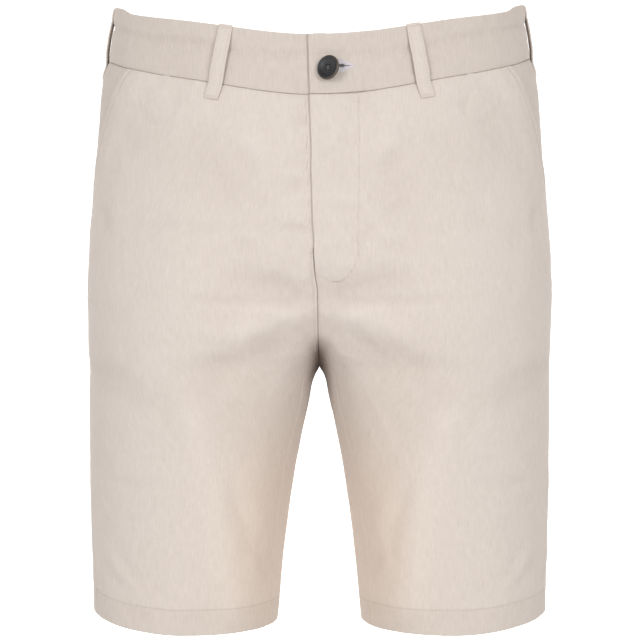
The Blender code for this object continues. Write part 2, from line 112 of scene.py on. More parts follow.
# the same on both halves: face (-1 front, +1 back), start x and z, end x and z, half width, height
FOLDS = (
    (-1, 60, -176, 4, -190, 12, -1.8),
    (-1, 8, -203, 55, -218, 11, 2.4),
    (-1, 12, -212, 70, -240, 13, -2.6),
    (-1, 13, -218, 27, -250, 11, 2.0),
    (-1, 80, -262, 70, -285, 24, -1.6),
    (-1, 88, -285, 64, -420, 14, 1.8),
    (-1, 172, -246, 138, -264, 12, -1.8),
    (-1, 150, -60, 60, -110, 26, -1.2),
    (1, 16, -212, 84, -246, 14, -2.8),
    (1, 20, -232, 70, -276, 13, 2.2),
    (1, 165, -236, 105, -262, 14, -2.2),
    (1, 96, -290, 84, -425, 16, 1.8),
    (1, 40, -60, 110, -96, 24, -1.4),
)
SIDE_FADE = 0.22

# thickness of the cloth, of the doubled hem and of the band
CLOTH = 1.0
HEM_CLOTH = 2.3
BAND_CLOTH = 1.7
HEM_DEPTH = 21.0
HEM_TOP = HEM_DROP - HEM_DEPTH
# lift of the fly lap, the x and the drop where it starts to end and over how much, and more lift at its top
LAP_LIFT = 1.5
LAP_REACH = (10.0, 16.0)
LAP_END = (158.0, 20.0)
LAP_TOP_LIFT = 0.5
LAP_TOP = (2.0, 20.0)
BAND_LAP_LIFT = 2.1
MOUTH_LIFT = 1.5
MOUTH_REACH = (16.0, 20.0)
# how far from an edge it begins to round away, and by what share of the thickness on each face
EDGE_ROUND = 0.8
ROUND_SHARE = 0.38
# depth and half width of a seam's ditch and of a stitched channel, and of the puckers beside them
DITCH = 0.45
DITCH_WIDTH = 1.9
CHANNEL = 0.32
CHANNEL_WIDTH = 1.1
PUCKER = 0.13
PUCKER_REACH = 7.0
FAR = 99.0


def smooth(amount):
    held = np.clip(amount, 0.0, 1.0)
    return held * held * (3.0 - 2.0 * held)


def fall(value, start, ramp):
    return 1.0 - smooth((value - start) / ramp)


def bell(value, width):
    return np.exp(-(value / width) ** 2)


def lerp(start, end, amount):
    return start + (end - start) * amount


def unit(vectors):
    return vectors / np.maximum(np.linalg.norm(vectors, axis=-1, keepdims=True), 1e-9)


def curved(table, drop):
    """Each column of a table at every drop, on smooth curves through its rows."""
    keys = table[:, 0]
    drop = np.clip(np.asarray(drop, float), keys[0], keys[-1])
    low = np.minimum(np.searchsorted(keys[1:], drop, side="left"), len(keys) - 2)
    before, after = np.maximum(low - 1, 0), np.minimum(low + 2, len(keys) - 1)
    span = keys[low + 1] - keys[low]
    part = ((drop - keys[low]) / span)[..., None]
    first, start, end, last = (table[index][..., 1:] for index in (before, low, low + 1, after))
    start_slope = (end - first) * (span / (keys[low + 1] - keys[before]))[..., None]
    end_slope = (last - start) * (span / (keys[after] - keys[low]))[..., None]
    bow = (1.0 - part) ** 2 * part * start_slope - (1.0 - part) * part ** 2 * end_slope
    return np.moveaxis(lerp(start, end, smooth(part)) + bow, -1, 0)


def straight(table, drop, column):
    return np.interp(drop, table[:, 0], table[:, column])


def ring(drop, turn):
    """Points of the left half's rings."""
    drop, turn = np.broadcast_arrays(np.asarray(drop, float), np.asarray(turn, float))
    half_width, front, back, bulge, seat, inner, dip, fullness = curved(SECTIONS, drop)
    sine, cosine = np.sin(np.radians(turn)), np.cos(np.radians(turn))
    in_front = cosine > 0
    middle = np.where(in_front, bulge, seat)
    depth = np.where(in_front, front, back)
    width = np.where(sine > 0, half_width - middle, middle - inner)
    power = np.where(in_front & (sine > 0), 2.0 / fullness, 1.0)
    x = middle + np.copysign(width * np.abs(sine) ** power, sine)
    y = -np.copysign(depth * np.abs(cosine) ** power, cosine)
    facing = cosine ** 2
    rise = np.where(in_front, -dip * (facing + facing * (1.0 - facing) * (DIP_SIDE - DIP_FRONT * facing)),
                    BACK_RISE * dip / SECTIONS[0, 7] * facing)
    hem_share = smooth((drop - CROTCH_DROP) / (HEM_DROP - CROTCH_DROP))
    rise = rise + np.where(sine > 0, HEM_SIDE_RISE, HEM_INNER_FALL) * hem_share * sine * np.abs(sine)
    band_share = smooth((PEAK_DROP[0] - drop) / PEAK_DROP[1])
    rise = rise + PEAK_RISE * band_share * smooth((sine - PEAK_SINE[0]) / PEAK_SINE[1])
    return np.stack((x, y, rise - drop), -1)


def centre_turn(drop, x, behind):
    """The turn at which the left half's ring stands at x, in front or behind."""
    drop, x = np.broadcast_arrays(np.asarray(drop, float), np.asarray(x, float))
    half_width, front, back, bulge, seat, inner, dip, fullness = curved(SECTIONS, drop)
    middle = seat if behind else bulge
    power = 1.0 if behind else fullness / 2.0
    beyond = np.clip((x - middle) / (half_width - middle), 0.0, 1.0) ** power
    within = -np.clip((middle - x) / (middle - inner), 0.0, 1.0)
    turn = np.degrees(np.arcsin(np.where(x > middle, beyond, within)))
    return 180.0 - turn if behind else turn


def turn_for(drop, turn, distance):
    """The change of turn that moves a point a distance round its ring."""
    span = ring(drop, turn + TURN_STEP) - ring(drop, turn - TURN_STEP)
    return distance * 2.0 * TURN_STEP / np.linalg.norm(span, axis=-1)


def polyline_distance(points, line):
    """Distance from each point to a line, and how far along the line the nearest place is, from 0 to 1."""
    best = np.full(points.shape[:-1], 1e9)
    along = np.zeros(points.shape[:-1])
    count = len(line) - 1
    for index in range(count):
        start, run = line[index], line[index + 1] - line[index]
        part = np.clip(((points - start) @ run) / (run @ run), 0.0, 1.0)
        distance = np.linalg.norm(points - start - part[..., None] * run, axis=-1)
        nearer = distance < best
        best = np.where(nearer, distance, best)
        along = np.where(nearer, (index + part) / count, along)
    return best, along


# ---------------------------------------------------------------- creases of the cloth, and light and shade painted on it
# by side (0 both halves, 1 the wearer's left, -1 the right) and face (-1 front, 1 back): start x and z, end x
# and z, bow of the middle to the crease's left, half width, height (less than 0 is a trough)
CREASES = {
    (0, -1): (
        (102, -191, 3, -191, 2, 3.6, -0.55), (54, -177, 10, -190, -3, 7, -0.8),
        (48, -196, 12, -203, 2, 6, 0.7), (112, -244, 70, -235, 3, 7, -0.25),
        (176, -243, 131, -254, -3, 7, -0.2), (172, -250, 140, -262, -2, 5, 0.15),
        (115, -260, 110, -286, 3, 8, -0.35), (96, -262, 92, -290, 2, 8, 0.2),
        (70, -322, 54, -385, -3, 5.5, -0.35), (60, -318, 44, -380, -3, 8, 0.3),
        (164, -325, 112, -327, 4, 4, -0.35), (168, -384, 146, -411, 3, 3.6, -0.22),
        (162, -376, 139, -407, 4, 3.6, 0.2), (156, -370, 133, -402, 4, 4, -0.18),
        (44, -384, 37, -408, 2, 4, -0.4), (127, -131, 106, -132, 2, 5, -0.35),
        (98, -139, 78, -143, -2, 5, -0.35), (66, -148, 42, -154, 3, 6, -0.6),
        (62, -140, 40, -146, 2, 5, 0.4), (73, -78, 47, -106, -7, 5, -0.35),
        (60, -70, 44, -92, -4, 7, 0.5), (104, -64, 74, -70, 4, 5, -0.35),
        (137, -44, 118, -66, 2, 4, -0.3), (112, -36, 106, -52, 1, 4, -0.35),
        (168, -116, 164, -140, -2, 4, -0.6),
    ),
    (-1, -1): (
        (24, -138, 7, -141, 1, 3, -0.7), (26, -112, 8, -108, -2, 4, -0.5), (20, -92, 6, -84, 1, 4, -0.45),
        (34, -124, 12, -128, 2, 4, 0.4), (22, -64, 8, -52, 1, 5, -0.5), (52, -112, 30, -122, 3, 4, -0.4),
    ),
    (1, -1): (
        (12, -102, 40, -98, 2, 4, -0.45), (10, -120, 34, -127, -2, 4, -0.4),
        (14, -78, 30, -74, 1, 4, -0.4), (22, -147, 42, -136, -3, 5, -0.55),
        (44, -128, 68, -120, 2, 4, -0.35), (12, -166, 30, -170, 2, 4, 0.4),
    ),
    (0, 1): (
        (8, -206, 66, -224, -4, 7, 1.0), (92, -206, 30, -216, 4, 6, -0.8),
        (118, -246, 64, -234, 4, 8, -1.0), (176, -240, 118, -262, -4, 8, -1.1),
        (150, -262, 96, -282, -3, 7, 0.7), (60, -120, 104, -142, 4, 8, -0.6),
        (88, -58, 30, -74, 4, 6, -0.5), (76, -296, 62, -372, 4, 7, -0.8),
        (128, -302, 118, -366, -4, 8, 0.7), (158, -330, 130, -352, 3, 5, -0.5),
        (160, -392, 136, -412, 3, 4, -0.45),
    ),
    (1, 1): (
        (24, -96, 62, -104, 3, 5, -0.5),
    ),
    (-1, 1): (
        (30, -142, 70, -136, -3, 5, -0.5),
    ),
}
CREASE_STEPS = 6
CREASE_GAIN = 2.4
# height, then size across and down, of the crumple that covers the cloth, and where its pattern starts
CRUMPLES = ((0.5, 46, 60, 11.3), (0.32, 22, 26, 47.9), (0.17, 8, 11, 83.1))
# what its noise counts for as a sharp ridge and as it is, and the level that keeps its mean near 0
CRUMPLE_SHAPE = (-1.6, 0.6, 0.4)
# x, z, reach in x and z, and how much stronger the crumple is there
CRUMPLE_CENTRE = ((0, -100, 70, 75, 1.5), (0, -215, 80, 45, 1.3))
# size of the puckers beside seams and stitches, and where their pattern starts
PUCKER_SIZE = 6.5
PUCKER_SHIFT = 5.0


def bent_line(start, end, bow):
    """A line from start to end in a plane, its middle pushed to its left."""
    part = np.linspace(0.0, 1.0, CREASE_STEPS + 1)[:, None]
    run = end - start
    left = np.array((-run[1], run[0])) / np.linalg.norm(run)
    return start + run * part + left * bow * 4.0 * part * (1.0 - part)


def crease_relief(points, facing):
    """How far folds and creases lift the cloth: facing is the y of its outward direction."""
    relief = np.zeros(points.shape[:-1])
    plane = np.stack((np.abs(points[..., 0]), points[..., 2]), -1)
    for face, *ends, width, height in FOLDS:
        distance, _ = polyline_distance(plane, np.array(ends, float).reshape(2, 2))
        relief += height * bell(distance, width) * smooth(facing * face / SIDE_FADE)
    for (side, face), creases in CREASES.items():
        own = 1.0 if side == 0 else np.where(points[..., 0] * side > 0, 1.0, 0.0)
        for *ends, bow, width, height in creases:
            distance, along = polyline_distance(plane, bent_line(*np.array(ends, float).reshape(2, 2), bow))
            taper = np.sqrt(np.clip(1.0 - (2.0 * along - 1.0) ** 2, 0.0, 1.0))
            shape = CREASE_GAIN * height * bell(distance, width) * taper
            relief += shape * smooth(facing * face / SIDE_FADE) * own
    return relief


# x, z, reach in x and z, and strength of the places where painted light makes the cloth lighter and warmer in
# colour
PAINTED_LIGHT_PLACES = ((44, -385, 34, 110, 0.8), (150, -430, 40, 90, 0.1))
# half width, and the heights from and over which painted shadow darkens the cloth deep between the legs and
# fades again
CROTCH_SHADOW_PLACE = (7.0, -214.0, 20.0, -243.0, 30.0)
# how much painted shade darkens the cloth's troughs and painted highlight lightens its raised folds, per
# millimetre of relief, and the most of either
SHADE_GAIN = 0.1
SHADE_LIMIT = 0.3
# how much painted shade darkens the doubled hem, the pocket facing, the cloth beside the pocket mouth and the
# band
HEM_SHADE = 0.2
FACING_SHADE = 0.35
MOUTH_SHADE = 0.15
BAND_SHADE = 0.36
# over what drop the hem's painted shade comes in, and how far from the mouth the front's painted shadow
# reaches
HEM_SHADE_RAMP = 2.0
MOUTH_SHADE_REACH = 4.8
# how much a painted highlight lightens the front's pressed ridge beside the inseam, how many rows below the
# fork it starts, how far it lies from the seam, and its half width
RIDGE_HIGHLIGHT = (0.8, 4, 1.1, 0.9)


def cloth_marks(points, relief):
    """What a cloth's material reads: painted shade and highlight from its relief, painted warm light, painted
    shadow between the legs.
    """
    x, z = np.abs(points[..., 0]), points[..., 2]
    # painted light, lighter and warmer, on the lower legs
    painted_warm_light = sum(strength * bell(x - across, wide) * bell(z - up, high)
                 for across, up, wide, high, strength in PAINTED_LIGHT_PLACES)
    # painted shadow deep between the legs
    reach, top, ramp, low, fade = CROTCH_SHADOW_PLACE
    painted_crotch_shadow = bell(x, reach) * smooth((top - z) / ramp) * (1.0 - smooth((low - z) / fade))
    # painted shade in troughs and painted highlight on raised folds
    shade = np.clip(SHADE_GAIN * relief, -SHADE_LIMIT, SHADE_LIMIT)
    return {"shade": shade, "painted_warm_light": np.clip(painted_warm_light, 0.0, 1.0), "painted_crotch_shadow": painted_crotch_shadow}


def noise_field(points, across, down, shift):
    """Smooth noise through space at some points, of a size across and a size down."""
    scale = np.array((1.0 / across, 1.0 / across, 1.0 / down))
    flat = (points * scale + shift).reshape(-1, 3)
    return np.array([noise.noise(place) for place in flat.tolist()]).reshape(points.shape[:-1])


def crumple(points):
    """The small unevenness of worn linen, stronger about the fly and the crotch."""
    strength = np.ones(points.shape[:-1])
    for x, z, width, height, more in CRUMPLE_CENTRE:
        strength += more * bell(points[..., 0] - x, width) * bell(points[..., 2] - z, height)
    relief = np.zeros(points.shape[:-1])
    ridges, plain, level = CRUMPLE_SHAPE
    for height, across, down, shift in CRUMPLES:
        value = noise_field(points, across, down, shift)
        relief += height * (np.abs(value) * ridges + level + value * plain)
    return relief * strength


def world_surface(side, drop, turn):
    """Points and outward directions of the form; past the centre a ring goes on as its mirror image."""
    drop, turn = np.broadcast_arrays(np.asarray(drop, float), np.asarray(turn, float))
    front_centre, back_centre = centre_turn(drop, 0.0, False), centre_turn(drop, 0.0, True)
    past_front = (drop < FLY_END) & (turn < front_centre)
    past_back = (drop < FLY_END) & (turn > back_centre)
    turn = np.where(past_front, 2.0 * front_centre - turn, turn)
    turn = np.where(past_back, 2.0 * back_centre - turn, turn)
    around = ring(drop, turn + TURN_STEP) - ring(drop, turn - TURN_STEP)
    down = ring(drop + DROP_STEP, turn) - ring(drop - DROP_STEP, turn)
    point, normal = ring(drop, turn), unit(np.cross(down, around))
    flip = np.where(past_front | past_back, -1.0, 1.0)
    x = point[..., 0] * flip
    x = np.where(drop > FLY_END, np.maximum(x, SEAM_GAP / 2), x)
    depth, width, reach, start, end = CLEFT
    ahead = smooth(-point[..., 1] / reach) * smooth((drop - start) / (end - start))
    point[..., 1] += depth * ahead * bell(x, width)
    point[..., 2] += WAIST_TILT * side * x / SECTIONS[0, 1] * fall(drop, 0.0, WAIST_TILT_END)
    point[..., 0] = side * x + straight(LEANS, drop, 1) * bell(x, LEAN_REACH)
    normal[..., 0] *= flip * side
    return point, normal


def grid_normals(points, outward):
    """Outward directions of a grid of points."""
    normal = unit(np.cross(np.gradient(points, axis=0), np.gradient(points, axis=1)))
    return normal * np.sign((normal * outward).sum(-1, keepdims=True) + 1e-12)


def lengths_along(points, axis):
    """Distance from the first point of each row (axis 1) or column (axis 0)."""
    step = np.linalg.norm(np.diff(points, axis=axis), axis=-1)
    return np.insert(np.cumsum(step, axis=axis), 0, 0.0, axis=axis)


# ---------------------------------------------------------------- grids
TOP_ROWS = 150
LEG_ROWS = 74
HEM_ROWS = 12
FRONT_COLUMNS = 116
BACK_COLUMNS = 128
# shares of the width, or of the hem's depth, at which an edge has its finer steps
EDGE_SHARES = np.array((0.0012, 0.003, 0.006, 0.011))
EDGE_CLEAR = 1.3
HEM_EDGE_SHARES = np.array((0.0, 0.015, 0.035, 0.08))
LINE_POINTS = 90
FORK_GAP = 0.25


def with_edges(count, both=True):
    """Even shares from 0 to 1, with finer steps beside the first end, or both ends."""
    shares = np.linspace(0.0, 1.0, count + 1)
    last = EDGE_SHARES[-1] * EDGE_CLEAR
    middle = shares[(shares > last) & ((shares < 1.0 - last) | (not both))]
    return np.concatenate(([0.0], EDGE_SHARES, middle) + ((1.0 - EDGE_SHARES[::-1], [1.0]) if both else ()))


def even_path(drops, turns, shares):
    """Places at some shares of a path's length."""
    length = lengths_along(ring(drops, turns)[None], 1)[0]
    wanted = shares * length[-1]
    return np.interp(wanted, length, drops), np.interp(wanted, length, turns)


def fly_edge(side, drop):
    return SEAM_GAP / 2 - straight(FLY, drop, 1 if side > 0 else 2)


def mouth_turn(drop):
    _, front, *_, fullness = curved(SECTIONS, drop)
    forward = MOUTH_TOP_Y * np.clip(1.0 - drop / MOUTH_DROP, 0.0, 1.0)
    return np.degrees(np.arccos((forward / front) ** (fullness / 2.0)))


def seam_turn(drop, column):
    return curved(SEAMS, drop)[column]


def panel_places(side, back):
    """The drop and the turn of each point of a front or a back, and the row that its centre edge ends in."""
    top = with_edges(TOP_ROWS, False)
    leg, hem = (np.linspace(0.0, 1.0, rows + 1)[1:] for rows in (LEG_ROWS, HEM_ROWS))
    hem = np.unique(np.concatenate((hem, 1.0 - HEM_EDGE_SHARES)))
    if back:
        under = np.arange(CROTCH_DROP - 1, FORK_DROP - 1, -1)
        drops = np.concatenate((np.arange(0.0, CROTCH_DROP + 1), under))
        behind = np.arange(len(drops)) <= CROTCH_DROP
        ahead = 360.0 + centre_turn(drops, SEAM_GAP / 2, False)
        turns = np.where(behind, centre_turn(drops, SEAM_GAP / 2, True), ahead)
    else:
        drops = np.append(np.arange(0.0, FORK_DROP), FORK_DROP - FORK_GAP)
        turns = centre_turn(drops, fly_edge(side, np.maximum(drops, 1.0)), False)
    inner_drop, inner_turn = even_path(drops, turns, top)
    outer_leg, inner_leg = (np.concatenate((lerp(start, HEM_TOP, leg), lerp(HEM_TOP, HEM_DROP, hem)))
                            for start in (FORK_OUTER_DROP, FORK_DROP))
    leg_turn = seam_turn(inner_leg, 1)
    half_gap = turn_for(inner_leg, leg_turn, SEAM_GAP / 2)
    leg_turn = 360.0 + leg_turn - half_gap if back else leg_turn + half_gap
    outer_drop = np.concatenate((FORK_OUTER_DROP * top, outer_leg))
    inner_drop = np.concatenate((inner_drop, inner_leg))
    inner_turn = np.concatenate((inner_turn, leg_turn))
    outer_turn = seam_turn(outer_drop, 0)
    if not back:
        outer_turn = np.where(outer_drop < MOUTH_DROP, mouth_turn(outer_drop), outer_turn)
    outer_turn = outer_turn + turn_for(outer_drop, outer_turn, SEAM_GAP / 2) * (1.0 if back else -1.0)
    bend = lerp(BEND_WAIST, BEND_FORK, np.concatenate((top, np.ones(len(outer_leg)))) ** 2)
    bend = np.where(inner_drop > outer_drop, BEND_UNDER, bend)
    share = with_edges(BACK_COLUMNS if back else FRONT_COLUMNS)[None, :]
    drop = lerp(outer_drop[:, None], inner_drop[:, None], share ** bend[:, None])
    turn = lerp(outer_turn[:, None], inner_turn[:, None], share)
    return drop, turn, len(top) - 1


def thinned(line):
    """A line with no more points than a distance needs."""
    step = max(1, len(line) // LINE_POINTS)
    return np.concatenate((line[:-1:step], line[-1:]))


def round_off(distance, cloth):
    """How far a cut or folded edge rounds away on each face."""
    inside = np.clip(1.0 - distance / EDGE_ROUND, 0.0, 1.0)
    return ROUND_SHARE * cloth * (1.0 - np.sqrt(1.0 - inside ** 2))


def mouth_lift(drop):
    return MOUTH_LIFT * fall(drop, MOUTH_SINK[0], MOUTH_SINK[1] - MOUTH_SINK[0])


def front_lift(side, drop, turn, points):
    """How far a front stands off its rings at the pocket mouth and, on the left, at the fly lap."""
    mouth = mouth_turn(drop)
    reach = (mouth - turn) / turn_for(drop, mouth, 1.0)
    lift = np.where(drop < MOUTH_DROP, mouth_lift(drop) * fall(reach, *MOUTH_REACH), 0.0)
    if side > 0:
        lap = (LAP_LIFT + LAP_TOP_LIFT * fall(drop, *LAP_TOP)) * fall(points[..., 0], *LAP_REACH)
        lift = np.maximum(lift, lap * fall(drop, *LAP_END))
    return lift


def nearest_line(points, lines):
    """The distance from each point to the nearest of some lines."""
    best = np.full(points.shape[:-1], FAR)
    for line in lines:
        best = np.minimum(best, polyline_distance(points, thinned(line))[0])
    return best


def finish_grid(base, normal, lift, cloth, ditches=(), edges=(), channels=(), more=0.0):
    """Raise a plain grid by its relief; gives its outer and inner faces and its marks, of painted shade and
    light.

    The lines are made of base points: at a ditch the cloth sinks into a seam, at an edge it only rounds off,
    and at a channel a line of stitches pulls it in a little.
    """
    points = base + normal * lift[..., None]
    relief = crease_relief(points, normal[..., 1]) + crumple(points) + more
    pucker = noise_field(base, PUCKER_SIZE, PUCKER_SIZE, PUCKER_SHIFT)
    ditch, edge, channel = (nearest_line(base, lines) for lines in (ditches, edges, channels))
    sink = DITCH * bell(ditch, DITCH_WIDTH) + CHANNEL * bell(channel, CHANNEL_WIDTH)
    sink -= PUCKER * pucker * bell(np.minimum(np.minimum(ditch, edge), channel), PUCKER_REACH)
    rounded = round_off(np.minimum(ditch, edge), CLOTH)
    outer = points + normal * (relief - sink)[..., None]
    facing = grid_normals(outer, normal)
    inner = outer - facing * (cloth - rounded)[..., None]
    return outer - facing * rounded[..., None], inner, cloth_marks(outer, relief - sink)


# how far each half's edge stands from the centre plane where a seam is drawn up, how far beside it the cloth
# follows, and over how many rows this begins
SEAM_HALF = 0.1
SEAM_PULL = 4.0
SEAM_ONSET = 8


def close_seam(side, drop, grids, first, last):
    """Bring the centre edge of some rows up to the centre plane, and the cloth beside it a little less."""
    rows = np.arange(first, last + 1)
    wanted = straight(LEANS, drop[rows, -1], 1) + side * SEAM_HALF
    onset = smooth((rows - first + 1) / SEAM_ONSET) if first else np.ones(len(rows))
    for grid in grids:
        away = np.linalg.norm(grid[rows] - grid[rows, -1:], axis=-1)
        shift = (wanted - grid[rows, -1, 0]) * onset
        grid[rows, :, 0] += shift[:, None] * bell(away, SEAM_PULL)


def shell_parts(outer, inner, outward=True):
    """Vertices and faces of a closed thin wall, from the grids of its outer and inner faces."""
    rows, columns = outer.shape[:2]
    count = rows * columns
    index = np.arange(count).reshape(rows, columns)
    corners = (index[:-1, :-1], index[:-1, 1:], index[1:, 1:], index[1:, :-1])
    front = np.stack(corners, -1).reshape(-1, 4)
    loop = np.concatenate((index[0, :-1], index[:-1, -1], index[-1, :0:-1], index[:0:-1, 0]))
    after = np.roll(loop, -1)
    rim = np.stack((loop, loop + count, after + count, after), -1)
    faces = np.concatenate((front, front[:, ::-1] + count, rim))
    faces = faces if outward else faces[:, ::-1]
    return np.concatenate((outer.reshape(-1, 3), inner.reshape(-1, 3))), faces.tolist()


def add_object(name, data):
    made = bpy.data.objects.new(name, data)
    bpy.context.scene.collection.objects.link(made)
    return made


def joined_mesh(name, parts):
    """One piece from several lots of vertices and faces."""
    vertices, faces, start = [], [], 0
    for part_vertices, part_faces in parts:
        vertices.append(part_vertices)
        faces += [[start + index for index in face] for face in part_faces]
        start += len(part_vertices)
    mesh = bpy.data.meshes.new(name)
    mesh.from_pydata((np.concatenate(vertices) * MM).tolist(), [], faces)
    mesh.shade_smooth()
    return add_object(name, mesh)


def add_cloth_uv(piece, level):
    """Cloth coordinates, in metres, from millimetres at each vertex."""
    mesh = piece.data
    used = np.empty(len(mesh.loops), np.int32)
    mesh.loops.foreach_get("vertex_index", used)
    layer = mesh.uv_layers.new(name="cloth")
    layer.data.foreach_set("uv", (level[used] * MM).astype(np.float32).ravel())


def add_mark(piece, key, *values):
    """Keep a number at each vertex for a material to read."""
    layer = piece.data.attributes.new(key, "FLOAT", "POINT")
    layer.data.foreach_set("value", np.concatenate([np.ravel(part) for part in values]).astype(np.float32))


def shell_mesh(name, outer, inner, normal, uv, marks, groove=None):
    """A closed thin wall of cloth, with its cloth coordinates and the marks that its material reads."""
    row, column = outer.shape[0] // 2, outer.shape[1] // 2
    across = outer[row, column + 1] - outer[row, column]
    down = outer[row + 1, column] - outer[row, column]
    outward = np.cross(across, down) @ normal[row, column] > 0
    piece = joined_mesh(name, [shell_parts(outer, inner, outward)])
    add_cloth_uv(piece, np.tile(uv.reshape(-1, 2), (2, 1)))
    plain = np.full(outer.shape[:2], FAR)
    add_mark(piece, "groove", plain if groove is None else groove, plain)
    for key, mark in marks.items():
        add_mark(piece, key, mark, mark)
    return piece


def grain_uv(points, from_centre=False, down=None):
    """Cloth coordinates: across by the level distance from a row's start or, at its end, from the centre."""
    level = points * np.array((1.0, 1.0, 0.0))
    across = lengths_along(level, 1)
    if from_centre:
        across = across - across[:, -1:] - np.abs(points[:, -1:, 0])
    return np.stack((across, points[..., 2] if down is None else down), -1)


# ---------------------------------------------------------------- cut pieces
MOUTH_STITCH = 6.0
MOUTH_STITCH_END = 112.0
HEM_STITCH_RISE = 1.2
EDGE_STITCH = 2.6
EDGE_STITCH_ROWS = (150.0, 231.0)
FACING_UNDERLAP = 12.0
FACING_TAIL = 6.0
FACING_GRID = (90, 26)
# number, x and z of places on the curved stitching that holds the fly's facing, and the steps between two
FLY_STITCH = np.array(((0, 28.6, -42.5), (1, 28.6, -104.7), (2, 27.8, -148.1), (3, 27.8, -161.2),
                       (4, 23.5, -169.8), (5, 17.0, -177.1), (6, 9.8, -178.5), (7, 1.5, -174.2)))
FLY_STITCH_STEPS = 10
FRONT_Y = -118.0
# how faint the painted shade and sink of the fly stitching's pressed line are above, from which height and
# over what rise they get so
FLY_FAINT = (0.6, -168.0, 30.0)
# drops between which the right front shows the pressed edge of the fly behind it, in painted shade and a
# small sink, how far beyond the lap that is at the first and at the last, and how faint it is
FLY_PRESS = (4.0, 140.0, 3.2, 1.6, 0.42)
BAND_GRID = (26, 230)
BAND_DROPS = (-0.3, -40.0)
BAND_LAP_REACH = (28.0, 16.0)
# height of the band's lengthwise crease, its share of the way up, half width, how far it wanders and over
# what length, its least strength and how much that varies, and where the patterns of the two start
BAND_CREASE = (-1.3, 0.64, 2.6, 3.0, 46.0)
BAND_CREASE_STRENGTH = (0.55, 0.9)
BAND_CREASE_SHIFTS = (31.7, 71.2)
# drops of the strips inside the front and the back centre seam, the reaches of their points from the seam,
# how far they lie behind the cloth, and their thickness
COVER_ROWS = ((140.0, 241.0), (1.0, 241.0))
COVER_REACH = (0.0, 1.2, 3.5, 7.0)
COVER_SINK = 0.35
COVER_CLOTH = 0.6


def mouth_stitch(side):
    """The line of stitches inside the pocket mouth."""
    drop = np.linspace(1.0, MOUTH_STITCH_END, LINE_POINTS)
    turn = mouth_turn(drop) - turn_for(drop, mouth_turn(drop), MOUTH_STITCH)
    return world_surface(side, drop, turn)


def fly_stitch():
    """The curved line of stitches beside the fly."""
    count = len(FLY_STITCH) - 1
    x, z = curved(FLY_STITCH, np.linspace(0.0, count, count * FLY_STITCH_STEPS + 1))
    return np.stack((x, np.full(len(x), FRONT_Y), z), -1), FORWARD


def centre_stitch():
    """The line of stitches beside the centre seam, on the right."""
    drop = np.linspace(*EDGE_STITCH_ROWS, LINE_POINTS)
    return world_surface(-1, drop, centre_turn(drop, EDGE_STITCH, False))


def fly_press():
    """The line on the right front where the edge of the fly behind it shows, in painted shade and a small
    sink.
    """
    first, last, start, end, _ = FLY_PRESS
    drop = np.linspace(first, last, LINE_POINTS)
    beyond = straight(FLY, drop, 1) + np.linspace(start, end, LINE_POINTS)
    return world_surface(-1, drop, centre_turn(drop, beyond, False))[0]


def hem_stitch(side, turns):
    """The line of stitches that holds the turned-up hem of one panel."""
    return world_surface(side, np.full(len(turns), HEM_TOP + HEM_STITCH_RISE), turns)


def make_panel(name, side, back):
    """A front or a back; gives the piece and its lines of stitches, each with the ways out of the cloth."""
    drop, turn, fork = panel_places(side, back)
    base, normal = world_surface(side, drop, turn)
    lift = np.zeros(drop.shape) if back else front_lift(side, drop, turn, base)
    open_rows = 0 if back else np.searchsorted(drop[:, 0], MOUTH_DROP)
    fly_rows = 0 if back else np.searchsorted(drop[:fork, -1], SEAM_START)
    ditches = [base[0], base[open_rows:, 0], base[fly_rows:, -1]]
    edges = [base[-1]]
    stitches = {"hem": hem_stitch(side, turn[-HEM_ROWS])}
    if not back:
        edges += [base[:open_rows + 1, 0]]
        stitches["mouth"] = mouth_stitch(side)
        if side > 0:
            edges += [base[:fly_rows + 1, -1]]
            stitches["fly"] = fly_stitch()
        else:
            stitches["centre"] = centre_stitch()
    cloth = lerp(CLOTH, HEM_CLOTH, smooth((drop - HEM_TOP) / HEM_STITCH_RISE))
    channels = [line for key, (line, _) in stitches.items() if key != "fly"]
    outer, inner, marks = finish_grid(base, normal, lift, cloth, ditches, edges, channels)
    close_seam(side, drop, (outer, inner), int(fly_rows), fork)
    # painted shade on the doubled hem
    marks["shade"] -= HEM_SHADE * smooth((drop - HEM_TOP) / HEM_SHADE_RAMP)
    if not back:
        # painted shadow beside the pocket mouth
        beside = bell(nearest_line(base, [base[:open_rows + 1, 0]]), MOUTH_SHADE_REACH)
        # a painted highlight on the front's ridge beside the inseam
        lighter, below, away, width = RIDGE_HIGHLIGHT
        ridge_highlight = bell(nearest_line(base, [base[fork + below:, -1]]) - away, width)
        marks["shade"] = marks["shade"] - MOUTH_SHADE * beside + lighter * ridge_highlight
    # painted shade along the stitch lines, beside the fly lap's edge on the left and along the fly's edge
    # behind on the right
    groove = nearest_line(base, channels + ([base[:fly_rows + 1, -1]] if not back and side > 0 else []))
    if "fly" in stitches:
        faint, height, rise = FLY_FAINT
        beside = nearest_line(base * (1, 0, 1), [stitches["fly"][0] * (1, 0, 1)])
        groove = np.minimum(groove, np.maximum(beside, faint * smooth((base[..., 2] - height) / rise)))
    elif not back:
        groove = np.minimum(groove, np.maximum(nearest_line(base, [fly_press()]), FLY_PRESS[-1]))
    return shell_mesh(name, outer, inner, normal, grain_uv(base, True), marks, groove), stitches


